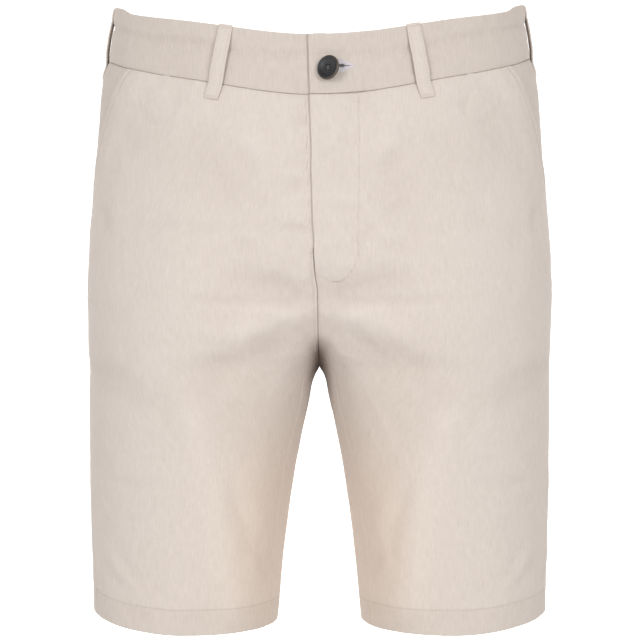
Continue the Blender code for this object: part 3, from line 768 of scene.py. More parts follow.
def make_seam_cover(name, back):
    """The pressed seam allowances inside a centre seam, in one strip."""
    drop = np.arange(*COVER_ROWS[back], 1.0)[:, None]
    lots = []
    for side, reaches in ((-1, COVER_REACH[::-1]), (1, COVER_REACH)):
        centre = centre_turn(drop, SEAM_GAP / 2, back)
        way = -1.0 if back else 1.0
        turn = centre + way * turn_for(drop, centre, 1.0) * np.array(reaches)
        base, normal = world_surface(side, drop + np.zeros(turn.shape), turn)
        relief = crease_relief(base, normal[..., 1]) + crumple(base)
        relief -= DITCH * bell(np.array(reaches), DITCH_WIDTH)
        lots.append((base + normal * (relief - CLOTH - COVER_SINK)[..., None], normal, relief))
    outer, normal, relief = (np.concatenate(both, 1) for both in zip(*lots))
    inner = outer - normal * COVER_CLOTH
    return shell_mesh(name, outer, inner, normal, grain_uv(outer), cloth_marks(outer, relief))


def make_facing(name, side):
    """The pocket facing: what shows beside the mouth, and a strip under the front."""
    share = np.linspace(0.0, 1.0, FACING_GRID[0] + 1)[:, None]
    drop = share * (MOUTH_DROP + FACING_TAIL) + np.zeros((1, FACING_GRID[1] + 1))
    held = np.minimum(drop, MOUTH_DROP)
    under = mouth_turn(held) - turn_for(drop, mouth_turn(held), FACING_UNDERLAP)
    outseam = seam_turn(drop, 0)
    outer_turn = outseam - turn_for(drop, outseam, SEAM_GAP / 2)
    turn = lerp(outer_turn, under, np.linspace(0.0, 1.0, FACING_GRID[1] + 1)[None, :])
    base, normal = world_surface(side, drop, turn)
    lift = mouth_lift(drop) - MOUTH_LIFT
    outer, inner, marks = finish_grid(base, normal, lift, CLOTH, [base[0], base[:, 0]])
    # painted shade over the whole facing
    marks["shade"] -= FACING_SHADE
    return shell_mesh(name, outer, inner, normal, grain_uv(base), marks)


def band_lift(side, drop, turn):
    """The left end of the waistband stands off its rings, over the right one."""
    reach = turn / turn_for(drop, 0.0, 1.0)
    return BAND_LAP_LIFT * fall(reach, *BAND_LAP_REACH) if side > 0 else np.zeros(drop.shape)


def make_band(name, side):
    """Half of the waistband, a folded strip, from its end in front to the centre seam behind."""
    drop = lerp(*BAND_DROPS, with_edges(BAND_GRID[0])[:, None])
    first = centre_turn(drop, 0.0, False) + fly_edge(side, drop) * turn_for(drop, 0.0, 1.0)
    last = centre_turn(drop, SEAM_GAP / 2, True)
    turn = lerp(first, last, with_edges(BAND_GRID[1])[None, :])
    drop = drop + np.zeros(turn.shape)
    base, normal = world_surface(side, drop, turn)
    height, up, width, wander, length = BAND_CREASE
    least, varied = BAND_CREASE_STRENGTH
    wave, swell = (noise_field(base * (1, 1, 0), length, length, shift) for shift in BAND_CREASE_SHIFTS)
    level = lerp(*BAND_DROPS, up) + wave * wander
    crease = height * bell(drop - level, width) * (least + varied * np.abs(swell))
    ditches = [base[0], base[:, -1]]
    edges = [base[-1], base[:, 0]]
    lift = band_lift(side, drop, turn)
    outer, inner, marks = finish_grid(base, normal, lift, BAND_CLOTH, ditches, edges, more=crease)
    # painted shade over the whole band
    marks["shade"] -= BAND_SHADE
    # painted shadow beside the left band's lapped end
    groove = nearest_line(base, [base[:, 0]]) if side > 0 else None
    return shell_mesh(name, outer, inner, normal, grain_uv(base, down=-drop), marks, groove)


# ---------------------------------------------------------------- threads
STITCH_LENGTH = 2.5
STITCH_PITCH = 3.1
THREAD_RADIUS = 0.26
THREAD_SIDES = 6
# along a stitch: its share, its height over the cloth, and its thickness
STITCH_RINGS = ((0.0, -0.42, 0.7), (0.16, 0.02, 1.0), (0.5, 0.16, 1.0), (0.84, 0.02, 1.0), (1.0, -0.42, 0.7))
CAST_REACH = 9.0
TACK_PITCH = 0.42
TACK_RADIUS = 0.24
# by what share a bar tack's threads differ in length, and how fast that changes from one to the next
TACK_SWAY = (0.12, 2.4)


def cloth_tree(pieces):
    """What finds where lines meet some finished pieces."""
    vertices, faces = [], []
    for piece in pieces:
        start = len(vertices)
        vertices += [vertex.co for vertex in piece.data.vertices]
        faces += [[start + index for index in face.vertices] for face in piece.data.polygons]
    return BVHTree.FromPolygons(vertices, faces)


def on_cloth(tree, points, directions):
    """Where lines come down on the cloth, against their directions, and the ways out of the cloth there."""
    found, out = [], []
    directions = np.broadcast_to(directions, points.shape)
    for point, direction in zip(points.reshape(-1, 3), directions.reshape(-1, 3)):
        way = Vector(direction).normalized()
        origin = Vector(point) * MM + way * CAST_REACH * MM
        place, normal, _, _ = tree.ray_cast(origin, -way, 2 * CAST_REACH * MM)
        if place is None:
            place, normal = Vector(point) * MM, way
        found.append(place / MM)
        out.append(normal)
    return np.array(found, float).reshape(points.shape), np.array(out, float).reshape(points.shape)


def at_lengths(line, lengths):
    """Points of a line at some distances from its start."""
    along = lengths_along(line[None], 1)[0]
    return np.stack([np.interp(lengths, along, line[:, axis]) for axis in range(line.shape[1])], -1)


def threads(tree, first, second, ways, radius=THREAD_RADIUS):
    """Threads over the cloth from the first points to the second ones, sunk in at their ends."""
    shares, heights, sizes = np.array(STITCH_RINGS).T
    places = first[:, None] + (second - first)[:, None] * shares[:, None]
    centre, out = on_cloth(tree, places, np.broadcast_to(ways, first.shape)[:, None])
    return straight_tubes(centre + out * (heights * radius / THREAD_RADIUS)[:, None], out, sizes * radius)


def stitch_line(tree, line, ways, length=STITCH_LENGTH, pitch=STITCH_PITCH, radius=THREAD_RADIUS):
    """Stitches one after another along a line."""
    total = lengths_along(line[None], 1)[0, -1]
    starts = np.arange((pitch - length) / 2, total - length, pitch)
    along = np.concatenate((line, np.broadcast_to(ways, line.shape)), 1)
    first, second = at_lengths(along, starts), at_lengths(along, starts + length)
    return threads(tree, first[:, :3], second[:, :3], first[:, 3:], radius)


def bar_tack(tree, start, end, way, wide):
    """Close short threads side by side, across the line from a start to an end."""
    count = int(np.linalg.norm(end - start) / TACK_PITCH) + 1
    middle = start + (end - start) * np.linspace(0.0, 1.0, count)[:, None]
    across = np.cross(way, end - start)
    across *= wide / 2 / np.linalg.norm(across)
    share, pace = TACK_SWAY
    sway = across * (1.0 + share * np.sin(np.arange(count) * pace))[:, None]
    return threads(tree, middle - sway, middle + sway, way, TACK_RADIUS)


def circle(steps):
    """Points round a circle of radius 1, in a plane."""
    angle = np.arange(steps) * math.tau / steps
    return np.stack((np.cos(angle), np.sin(angle)), -1)


def tube_parts(rings):
    """Vertices and faces of closed tubes with flat ends, from the points of their rings."""
    index = np.arange(rings.size // 3).reshape(-1, *rings.shape[-3:-1])
    after = np.roll(index, -1, axis=2)
    walls = np.stack((index[:, :-1], after[:, :-1], after[:, 1:], index[:, 1:]), -1).reshape(-1, 4)
    return rings.reshape(-1, 3), walls.tolist() + index[:, 0, ::-1].tolist() + index[:, -1].tolist()


def tubes(centre, run, out, thick):
    """Closed tubes along rows of centres: run is their way on and out a way across it."""
    side = unit(np.cross(out, run))
    cosine, sine = circle(THREAD_SIDES).T[..., None]
    ring = side[..., None, :] * cosine + np.cross(run, side)[..., None, :] * sine
    return tube_parts(centre[..., None, :] + ring * np.asarray(thick)[..., None, None])


def straight_tubes(centre, out, thick):
    """Closed tubes that keep one direction from end to end, one for each row of centres."""
    return tubes(centre, unit(centre[:, -1:] - centre[:, :1]), out, thick)


def bent_tube(centre, radius):
    """A closed tube of any bends along a line of points."""
    run = unit(np.gradient(centre, axis=0))
    helper = np.where(np.abs(run[:, 2:]) > 0.9, (1.0, 0.0, 0.0), (0.0, 0.0, 1.0))
    return tubes(centre, run, helper, radius)


# ---------------------------------------------------------------- belt loops
LOOP_WIDTH = 11.0
LOOP_DROPS = (13.0, -41.0)
# how far the ends and the free middle stand off, the drops where it frees itself, and over what length
LOOP_END_LIFT = 0.15
LOOP_STAND = 2.3
LOOP_FREE = (9.0, -39.0)
LOOP_RAMP = 20.0
# over how many rows on each side the unevenness of the cloth below is evened out
LOOP_EVEN = 10
LOOP_CLOTH = 1.5
# how much thicker the turned-in ends are, how long they are, and over what length that fades
LOOP_FOLD = (0.3, 7.0, 1.2)
# from how far the ends round off, and what share of the thickness is left at the very end
LOOP_END_ROUND = (0.9, 0.25)
# how deep a bar tack presses the cloth, and over what half width
LOOP_PRESS = (0.5, 1.0)
# by what share the ends are narrower, over what length, by what share the width wavers, and how fast
LOOP_NARROW = (0.035, 6.0, 0.012, 19.0)
LOOP_GRID = (72, 30)
LOOP_CORNER = 0.38
# how far from the middle the stitches run, as a share, how deep they pull in, and over what half width
LOOP_STITCH = 0.7
LOOP_CHANNEL = (0.16, 0.12)
# how many points at each end have no stitches
LOOP_BARE = 4
# distance of a bar tack from the end, its reach as a share of the half width, and the length of its threads
LOOP_TACK = (2.0, 0.84, 1.5)
# name, side, turn of the lower and of the upper end
LOOPS = (
    ("front_left", 1, 26.9, 24.3),
    ("front_right", -1, 26.9, 24.3),
    ("side_left", 1, 90.0, 90.0),
    ("side_right", -1, 90.0, 90.0),
    ("back", 1, 180.0, 180.0),
)


def power_sign(value, power):
    return np.sign(value) * np.abs(value) ** power


def make_loop(name, side, lower, upper, tree):
    """A belt loop, a folded strip sewn down at both ends; gives the piece and its threads."""
    share = with_edges(LOOP_GRID[0])
    drop, turn = lerp(*LOOP_DROPS, share), lerp(lower, upper, share)
    half = turn_for(np.maximum(drop, SECTIONS[0, 0]), turn, LOOP_WIDTH / 2)
    free = smooth(np.minimum(LOOP_FREE[0] - drop, drop - LOOP_FREE[1]) / LOOP_RAMP)
    middle, way = world_surface(side, drop, turn)
    rise = ((on_cloth(tree, middle, way)[0] - middle) * way).sum(-1)
    window = 2 * LOOP_EVEN + 1
    rise = np.convolve(np.pad(rise, LOOP_EVEN, mode="edge"), np.full(window, 1.0 / window), mode="valid")
    lift = lerp(LOOP_END_LIFT + rise, LOOP_STAND, free)
    from_end = np.minimum(share, 1.0 - share) * (LOOP_DROPS[0] - LOOP_DROPS[1])
    fold, fold_length, fold_ramp = LOOP_FOLD
    thick = LOOP_CLOTH + fold * fall(from_end, fold_length, fold_ramp)
    rounding, left = LOOP_END_ROUND
    ended = np.sqrt(1.0 - np.clip(1.0 - from_end / rounding, 0.0, 1.0) ** 2)
    from_bottom, tack_reach, wide = LOOP_TACK
    thick = thick * lerp(left, 1.0, ended) - LOOP_PRESS[0] * bell(from_end - from_bottom, LOOP_PRESS[1])
    across, up = power_sign(circle(LOOP_GRID[1]).T, LOOP_CORNER)
    less, narrow_length, waver, pace = LOOP_NARROW
    narrow = 1.0 - less * fall(from_end, 0.0, narrow_length) + waver * np.sin(share * pace)
    base, out = world_surface(side, drop[:, None], turn[:, None] + (half * narrow)[:, None] * across)
    pulled = LOOP_CHANNEL[0] * bell(np.abs(across) - LOOP_STITCH, LOOP_CHANNEL[1]) * (up > 0)
    outer = base + out * (lift[:, None] + thick[:, None] * (0.5 + 0.5 * up) - pulled)[..., None]
    points, faces = tube_parts(outer)
    faces = [face[::-1] for face in faces] if side > 0 else faces
    piece = joined_mesh(name, [(points, faces)])
    level = np.stack(np.broadcast_arrays(across * LOOP_WIDTH / 2, -drop[:, None]), -1)
    add_cloth_uv(piece, level.reshape(-1, 2))
    own = cloth_tree([piece])
    parts = []
    for edge in (-LOOP_STITCH, LOOP_STITCH):
        line, ways = world_surface(side, drop, turn + half * edge)
        sewn = slice(LOOP_BARE, -LOOP_BARE)
        parts.append(stitch_line(own, (line + ways * LOOP_STAND)[sewn], ways[sewn]))
    for end_drop in (LOOP_DROPS[0] - from_bottom, LOOP_DROPS[1] + from_bottom):
        end_turn, end_half = (np.interp(-end_drop, -drop, values) for values in (turn, half))
        reach = end_half * np.array((-tack_reach, 0.0, tack_reach))
        places, ways = world_surface(side, end_drop, end_turn + reach)
        parts.append(bar_tack(own, places[0], places[2], ways[1], wide))
    return piece, parts


# ---------------------------------------------------------------- button and buttonhole
BUTTON_X = 6.05
BUTTON_DROP = -15.9
BUTTON_YAW = -32.0
BUTTON_TILT = 6.0
BUTTON_STAND = 8.8
BUTTON_STEPS = 96
# radius and height from the centre of the dish round the rim to the back
BUTTON_PROFILE = ((0.0, 0.05), (3.4, 0.08), (5.3, 0.3), (5.9, 0.6), (6.3, 0.72), (6.7, 0.95), (7.2, 1.4),
                  (7.9, 1.55), (8.5, 1.3), (8.9, 0.75), (9.0, 0.1), (8.9, -0.5), (8.4, -1.05), (7.2, -1.4),
                  (4.0, -1.5), (0.0, -1.5))
BUTTON_RIM = 9.0
BUTTON_EDGE_DEGREES = 50.0
HOLE_RADIUS = 1.0
HOLE_OFFSET = 1.8
HOLE_DEPTH = 8.0
HOLE_SIDES = 24
HOLE_TURNS = (45.0, 135.0, 225.0, 315.0)
COTTON_RADIUS = 0.3
COTTON_OFFSETS = (-0.5, 0.0, 0.5)
# points along a crossing thread, how far it reaches beyond the holes' centres, its height over the dish, how
# much higher the second one lies, and how deep and how sharply the ends go down
COTTON_POINTS = 9
COTTON_BEYOND = 0.15
COTTON_HEIGHT = (0.55, 0.25)
COTTON_DIVE = (1.9, 5)
# radius at the ends and in the middle, length, turns and points a turn of the wound shank, its top, and the
# thickness of its thread as a share of the cotton's; the top and bottom of its core
SHANK = (1.25, 0.95, 5.2, 11, 16)
SHANK_TOP = -1.4
SHANK_THREAD = 0.9
SHANK_CORE = (-1.2, -7.38)


def button_matrix():
    turn = BUTTON_X * turn_for(BUTTON_DROP, 0.0, 1.0)
    point, normal = world_surface(1, BUTTON_DROP, turn)
    upright = Matrix.Rotation(math.radians(90.0 - BUTTON_TILT), 4, "X")
    facing = Matrix.Rotation(math.radians(BUTTON_YAW), 4, "Z") @ upright
    return Matrix.Translation(Vector(point + normal * BUTTON_STAND) * MM) @ facing


def turned(profile, steps):
    """Vertices and faces turned about Z from a profile that starts on the axis and may end there too."""
    poles = [(0.0, 0.0, height) for radius, height in profile if not radius]
    radius, height = np.array([place for place in profile if place[0]]).T
    flat = radius[:, None, None] * circle(steps)
    level = np.broadcast_to(height[:, None, None], flat.shape[:2] + (1,))
    points = np.concatenate((np.concatenate((flat, level), -1).reshape(-1, 3), poles))
    index = np.arange(len(radius) * steps).reshape(len(radius), steps)
    after = np.roll(index, -1, axis=1)
    faces = np.stack((index[:-1], index[1:], after[1:], after[:-1]), -1).reshape(-1, 4).tolist()
    fans = ((index[0], after[0]), (after[-1], index[-1]))
    for pole, (edge, turned_edge) in zip(range(index.size, len(points)), fans):
        faces += [(pole, a, b) for a, b in zip(edge.tolist(), turned_edge.tolist())]
    return points, faces


def make_button():
    """A four-hole button with a raised rim."""
    piece = joined_mesh("sewn_button", [turned(BUTTON_PROFILE, BUTTON_STEPS)])
    ring = np.pad(circle(HOLE_SIDES) * HOLE_RADIUS, ((0, 0), (0, 1)))
    parts = []
    for angle in np.radians(HOLE_TURNS):
        hole = ring + np.array((np.cos(angle), np.sin(angle), 0.0)) * HOLE_OFFSET
        parts.append(tube_parts(np.stack([hole + (0.0, 0.0, end * HOLE_DEPTH / 2) for end in (-1, 1)])))
    cutter = joined_mesh("sewn_button_holes", parts)
    cut = piece.modifiers.new("Sewing holes", "BOOLEAN")
    cut.operation = "DIFFERENCE"
    cut.object = cutter
    evaluated = piece.evaluated_get(bpy.context.evaluated_depsgraph_get())
    finished = bpy.data.meshes.new_from_object(evaluated)
    piece.modifiers.clear()
    piece.data = finished
    bpy.data.objects.remove(cutter)
    finished.set_sharp_from_angle(angle=math.radians(BUTTON_EDGE_DEGREES))
    add_mark(piece, "rim", [vertex.co.xy.length / (BUTTON_RIM * MM) for vertex in finished.vertices])
    piece.matrix_world = button_matrix()
    return piece


def make_button_cotton():
    """The thread crossed over the button's dish, and the wound shank behind it."""
    parts = []
    share = np.linspace(-1.0, 1.0, COTTON_POINTS)[:, None]
    depth, sharpness = COTTON_DIVE
    for number, angle in enumerate(np.radians(HOLE_TURNS[:2])):
        run = np.array((np.cos(angle), np.sin(angle), 0.0))
        side = np.array((-run[1], run[0], 0.0))
        for offset in COTTON_OFFSETS:
            centre = run * share * (HOLE_OFFSET + COTTON_BEYOND) + side * offset
            level = COTTON_HEIGHT[0] + COTTON_HEIGHT[1] * number
            centre[:, 2] = level - depth * np.abs(share[:, 0]) ** sharpness
            parts.append(straight_tubes(centre[None], (0.0, 0.0, 1.0), COTTON_RADIUS))
    top, waist, length, turns, steps = SHANK
    angle = np.linspace(0.0, turns * math.tau, turns * steps)
    share = angle / angle[-1]
    radius = lerp(top, waist, np.sin(share * np.pi)) - COTTON_RADIUS / 2
    spiral = np.stack((radius * np.cos(angle), radius * np.sin(angle), SHANK_TOP - share * length), -1)
    parts.append(bent_tube(spiral, COTTON_RADIUS * SHANK_THREAD))
    parts.append(bent_tube(np.array([(0.0, 0.0, height) for height in SHANK_CORE]), waist))
    piece = joined_mesh("button_cotton", parts)
    piece.matrix_world = button_matrix()
    return piece


# x and half height of the buttonhole's outer edge and of the slit inside it, from the button outwards
HOLE_OUTLINE = ((4.0, 2.2, 0.3), (9.0, 3.4, 0.3), (13.0, 5.2, 0.4), (15.6, 5.2, 1.1), (17.2, 4.4, 1.1),
                (18.6, 3.5, 0.2), (23.4, 0.8, 0.1))
BUTTONHOLE_Z = -21.2
SATIN_PITCH = 0.34
SATIN_RADIUS = 0.25
# along a satin thread, from the slit outwards: its share, its height over the cloth, and its thickness
SATIN_RINGS = ((0.0, -0.18, 0.7), (0.12, -0.02, 1.0), (0.45, 0.16, 1.0), (0.8, 0.092, 1.0), (1.0, -0.18, 0.7))
# how far the satin threads come to lean outwards, from which x and over what length, and by what share of the
# lean their inner ends and their middles move
SATIN_LEAN = (0.9, 12.0, 8.0, -0.2, 0.4)
# x of the bar's start and end, and its half height
BUTTONHOLE_BAR = (23.0, 27.4, 0.42)
# points along and across the painted shadow in the slit, how much it reaches under the satin, its height and
# its thickness
SLIT_GRID = (60, 7)
SLIT_MORE = 0.12
SLIT_HEIGHT = 0.05
SLIT_SHADOW_THICKNESS = 0.5


def band_places(tree, x, z):
    """Places on the finished waistband in front, from x and z."""
    return on_cloth(tree, np.stack((x, np.full(len(x), FRONT_Y), z), -1), FORWARD)[0]


def make_buttonhole(tree):
    """Satin threads round the slit of the buttonhole, over a cord, and the bar that ends it."""
    x, outer, slit = np.array(HOLE_OUTLINE).T
    even = np.arange(x[0], x[-1], SATIN_PITCH)
    outer, slit = np.interp(even, x, outer), np.interp(even, x, slit)
    most, start, length, inward, outward = SATIN_LEAN
    lean = most * np.clip((even - start) / length, 0.0, 1.0)
    shares, heights, sizes = np.array(SATIN_RINGS).T
    parts = []
    for side in (1, -1):
        inside, middle, outside = (
            band_places(tree, even + lean * share, BUTTONHOLE_Z + side * height)
            for share, height in ((inward, slit), (outward, (outer + slit) / 2), (1.0, outer)))
        flat = [lerp(inside, middle, share * 2) if share < 0.5 else lerp(middle, outside, share * 2 - 1)
                for share in shares]
        centre = np.stack(flat, 1) + FORWARD * heights[:, None]
        parts.append(straight_tubes(centre, FORWARD, sizes * SATIN_RADIUS))
    start, end, height = BUTTONHOLE_BAR
    ends = band_places(tree, np.array((start, end)), np.full(2, BUTTONHOLE_Z))
    parts.append(bar_tack(tree, ends[0], ends[1], FORWARD, 2 * height))
    return joined_mesh("buttonhole", parts)


def make_slit_shadow(tree):
    """A painted shadow for the slit inside the buttonhole: a dark, shallow sunk lens."""
    x, _, slit = np.array(HOLE_OUTLINE).T
    along, across = SLIT_GRID
    even = np.linspace(x[0], x[-1], along)
    half = np.interp(even, x, slit) + SLIT_MORE
    level = np.linspace(-1.0, 1.0, across)[:, None]
    places = band_places(tree, np.tile(even, across), BUTTONHOLE_Z + (half * level).ravel())
    top = places.reshape(across, along, 3) + FORWARD * SLIT_HEIGHT
    return joined_mesh("buttonhole_slit_shadow", [shell_parts(top, top - FORWARD * SLIT_SHADOW_THICKNESS)])


# ---------------------------------------------------------------- materials
LINEN = (0.667, 0.591, 0.534, 1.0)
LINEN_LIGHT = (0.735, 0.656, 0.598, 1.0)
LINEN_DARK = (0.595, 0.521, 0.463, 1.0)
# the tint of the painted warm light, lighter and warmer
LINEN_PAINTED_LIGHT = (1.13, 1.07, 1.0, 1.0)
# the colour of the painted shadow between the legs
LINEN_CROTCH_SHADOW = (0.30, 0.235, 0.20, 1.0)
# how much painted shade darkens a pressed line and how far its bump sinks, and from and up to what distance
# it fades
GROOVE_PAINTED_SHADE = -1.15
GROOVE_SINK = -0.6
GROOVE_EDGE = (0.2, 0.9)
# the linen's colours beyond its dark and light ones, for painted shade on pressed lines and painted highlight
# on raised folds
LINEN_RAMP = ((0.49, 0.42, 0.365, 1.0), LINEN_DARK, LINEN, LINEN_LIGHT, (0.78, 0.70, 0.64, 1.0))
# size across and down of the streaks of warp and weft yarns and of the cloudiness, and the weight of each
WARP_STREAKS = (0.0036, 0.080, 0.40)
WEFT_STREAKS = (0.030, 0.0036, 0.17)
FINE_SLUBS = (0.0019, 0.014, 0.05)
CLOUDS = (0.035, 0.05, 0.12)
YARN_PITCH = 0.00062
# how far streaks shift the yarns, how much the weave changes the tone, the height of streaks and of the weave
YARN_WAVER = 1.1
WEAVE_TONE = 0.08
YARN_HEIGHTS = (0.9, 0.5)
LINEN_BUMP = 0.00012
THREAD_BUMP = 0.00008
BUTTON_BUMP = 0.00006
# dark and light colour, scale of the twist, and roughness of each thread and of the painted shadow in the
# slit
THREADS = {
    "sewing_thread": ((0.585, 0.515, 0.46, 1), (0.69, 0.61, 0.555, 1), 2600.0, 0.85),
    "buttonhole_thread": ((0.56, 0.515, 0.54, 1), (0.72, 0.67, 0.70, 1), 2200.0, 0.7),
    "button_thread": ((0.025, 0.026, 0.028, 1), (0.08, 0.08, 0.085, 1), 2600.0, 0.6),
    "slit_shade": ((0.07, 0.065, 0.068, 1), (0.15, 0.135, 0.135, 1), 900.0, 0.9),
}
# the button's plastic from dark to light, and that of its turned edge
BUTTON_RAMP = ((0.006, 0.006, 0.007, 1), (0.012, 0.0115, 0.013, 1), (0.032, 0.03, 0.032, 1))
BUTTON_EDGE_RAMP = ((0.05, 0.038, 0.026, 1), (0.11, 0.085, 0.06, 1))
# from and up to what share of the radius the edge's colour comes in, and the grain's and the specks' scales
BUTTON_EDGE = (0.86, 0.985)
BUTTON_GRAIN = (260.0, 900.0, 260.0)
BUTTON_SPECKS = 2400.0


class Nodes:
    """Builds a material's node tree in a few words."""

    def __init__(self, name, roughness, **inputs):
        self.material = bpy.data.materials.new(name)
        self.material.use_nodes = True
        self.tree = self.material.node_tree
        self.shader = self.tree.nodes["Principled BSDF"]
        self.shader.inputs["Roughness"].default_value = roughness
        for key, value in inputs.items():
            self.shader.inputs[key.replace("_", " ")].default_value = value

    def add(self, kind, *inputs, **settings):
        """Add a node, set its properties, and link or set its inputs in order; gives its first output."""
        made = self.tree.nodes.new("ShaderNode" + kind)
        for key, value in settings.items():
            setattr(made, key, value)
        for socket, value in zip([s for s in made.inputs if s.enabled], inputs):
            if isinstance(value, bpy.types.NodeSocket):
                self.tree.links.new(value, socket)
            elif value is not None:
                socket.default_value = value
        return next(output for output in made.outputs if output.enabled)

    def maths(self, operation, *inputs):
        return self.add("Math", *inputs, operation=operation)

    def object_place(self):
        return self.add("TexCoord").node.outputs["Object"]

    def streaks(self, place, size, detail=1.5):
        """Noise around 0, of a size across and down the cloth."""
        scaled = self.add("VectorMath", place, (1.0 / size[0], 1.0 / size[1], 1.0), operation="MULTIPLY")
        value = self.add("TexNoise", scaled, None, 1.0, detail, noise_dimensions="2D")
        return self.maths("MULTIPLY_ADD", value, 2.0 * size[2], -size[2])

    def mark(self, key):
        """A number that the mesh holds at each point."""
        return self.add("Attribute", attribute_name=key).node.outputs["Fac"]

    def times(self, colour, share, tint):
        """A colour multiplied by a tint, as far as a share says."""
        return self.add("Mix", share, colour, tint, data_type="RGBA", blend_type="MULTIPLY")

    def between(self, value, start, end, first, last):
        """A value's smooth way from first to last as it goes from start to end."""
        return self.add("MapRange", value, start, end, first, last, interpolation_type="SMOOTHSTEP")

    def shade(self, factor, *colours):
        """A colour from a factor, on an even ramp."""
        ramp = self.tree.nodes.new("ShaderNodeValToRGB")
        while len(ramp.color_ramp.elements) < len(colours):
            ramp.color_ramp.elements.new(0.5)
        for index, colour in enumerate(colours):
            ramp.color_ramp.elements[index].position = index / (len(colours) - 1)
            ramp.color_ramp.elements[index].color = colour
        self.tree.links.new(factor, ramp.inputs["Fac"])
        return ramp.outputs["Color"]

    def finish(self, colour, height, distance):
        """Give the shader its colour and its bump; gives the material."""
        self.tree.links.new(colour, self.shader.inputs["Base Color"])
        bump = self.tree.nodes.new("ShaderNodeBump")
        bump.inputs["Strength"].default_value = 1.0
        bump.inputs["Distance"].default_value = distance
        self.tree.links.new(height, bump.inputs["Height"])
        self.tree.links.new(bump.outputs["Normal"], self.shader.inputs["Normal"])
        return self.material


def linen_material(name, grooved):
    """Plain-woven linen: slubby warp and weft, a soft cloudiness, lines pulled in by stitches, and painted
    shade and light from the mesh's marks.
    """
    nodes = Nodes(name, 0.92, Sheen_Weight=0.06, Sheen_Roughness=0.6, Specular_IOR_Level=0.25)
    place = nodes.add("UVMap", uv_map="cloth")
    warp, weft, fine = (nodes.streaks(place, size) for size in (WARP_STREAKS, WEFT_STREAKS, FINE_SLUBS))
    cloud = nodes.streaks(place, CLOUDS, 3.0)
    yarns = nodes.maths("ADD", nodes.maths("ADD", warp, weft), fine)
    tone = nodes.maths("ADD", nodes.maths("ADD", yarns, cloud), 0.5)
    axes = nodes.add("SeparateXYZ", place).node.outputs
    waver = nodes.maths("MULTIPLY", yarns, YARN_WAVER)
    turns = [nodes.maths("SINE", nodes.maths("MULTIPLY_ADD", axes[axis], math.tau / YARN_PITCH, waver))
             for axis in (0, 1)]
    weave = nodes.maths("MULTIPLY", *turns)
    tone = nodes.maths("MULTIPLY_ADD", weave, WEAVE_TONE, tone)
    raised = nodes.maths("MULTIPLY", weave, YARN_HEIGHTS[1])
    height = nodes.maths("MULTIPLY_ADD", yarns, YARN_HEIGHTS[0], raised)
    if grooved:
        pressed = nodes.between(nodes.mark("groove"), *GROOVE_EDGE, 1.0, 0.0)
        # painted shade darkens the pressed lines, and the bump sinks them
        tone = nodes.maths("MULTIPLY_ADD", pressed, GROOVE_PAINTED_SHADE, tone)
        height = nodes.maths("MULTIPLY_ADD", pressed, GROOVE_SINK, height)
    # painted shade and highlight of folds, hem, facing, pocket mouth, band and inseam ridge
    tone = nodes.maths("ADD", tone, nodes.mark("shade"))
    # the tones from 0 to 1 fill the middle half of the ramp
    colour = nodes.shade(nodes.maths("MULTIPLY_ADD", tone, 0.5, 0.25), *LINEN_RAMP)
    # painted warm light
    colour = nodes.times(colour, nodes.mark("painted_warm_light"), LINEN_PAINTED_LIGHT)
    # painted shadow between the legs
    colour = nodes.times(colour, nodes.mark("painted_crotch_shadow"), LINEN_CROTCH_SHADOW)
    return nodes.finish(colour, height, LINEN_BUMP)


def thread_material(name):
    """Twisted sewing thread; the painted shadow in the buttonhole's slit uses it too."""
    dark, light, twist, roughness = THREADS[name]
    nodes = Nodes(name, roughness, Sheen_Weight=0.1)
    value = nodes.add("TexNoise", nodes.object_place(), None, twist, 2.0)
    return nodes.finish(nodes.shade(value, dark, light), value, THREAD_BUMP)


def button_material():
    """Dark horn-like plastic, browner on the turned edge."""
    nodes = Nodes("button_plastic", 0.42, Specular_IOR_Level=0.3, Coat_Weight=0.1, Coat_Roughness=0.25)
    place = nodes.object_place()
    stretched = nodes.add("VectorMath", place, BUTTON_GRAIN, operation="MULTIPLY")
    grain = nodes.add("TexNoise", stretched, None, 1.0, 4.0, 0.6)
    speck = nodes.add("TexNoise", place, None, BUTTON_SPECKS, 2.0)
    edge = nodes.between(nodes.mark("rim"), *BUTTON_EDGE, 0.0, 1.0)
    body, brown = nodes.shade(grain, *BUTTON_RAMP), nodes.shade(grain, *BUTTON_EDGE_RAMP)
    mixed = nodes.add("Mix", edge, body, brown, data_type="RGBA")
    return nodes.finish(mixed, nodes.maths("ADD", grain, speck), BUTTON_BUMP)


def stage_material():
    """Plain pale backdrop."""
    glow = {"Emission_Color": (1, 1, 1, 1), "Emission_Strength": 0.6}
    nodes = Nodes("backdrop", 0.95, Specular_IOR_Level=0.0, **glow)
    value = nodes.add("TexNoise", nodes.object_place(), None, 3.0, 1.0)
    return nodes.finish(nodes.shade(value, (0.9, 0.9, 0.9, 1), (0.93, 0.93, 0.93, 1)), value, 0.0001)


# ---------------------------------------------------------------- studio
FLOOR_Z = -0.95
BOWL_RADIUS = 3.2
BOWL_CURVE = 0.9
BOWL_TOP = 1.0
BOWL_STEPS = 96
# radii of the rings of the flat floor, and the steps of its bend
FLOOR_RINGS = (0.6, 1.2)
BEND_STEPS = 12
CAMERA_PLACE = (0.0004, -1.2, -0.206)
CAMERA_LENS = 84.375
CAMERA_SENSOR = 36.0
WORLD_LIGHT = 0.6
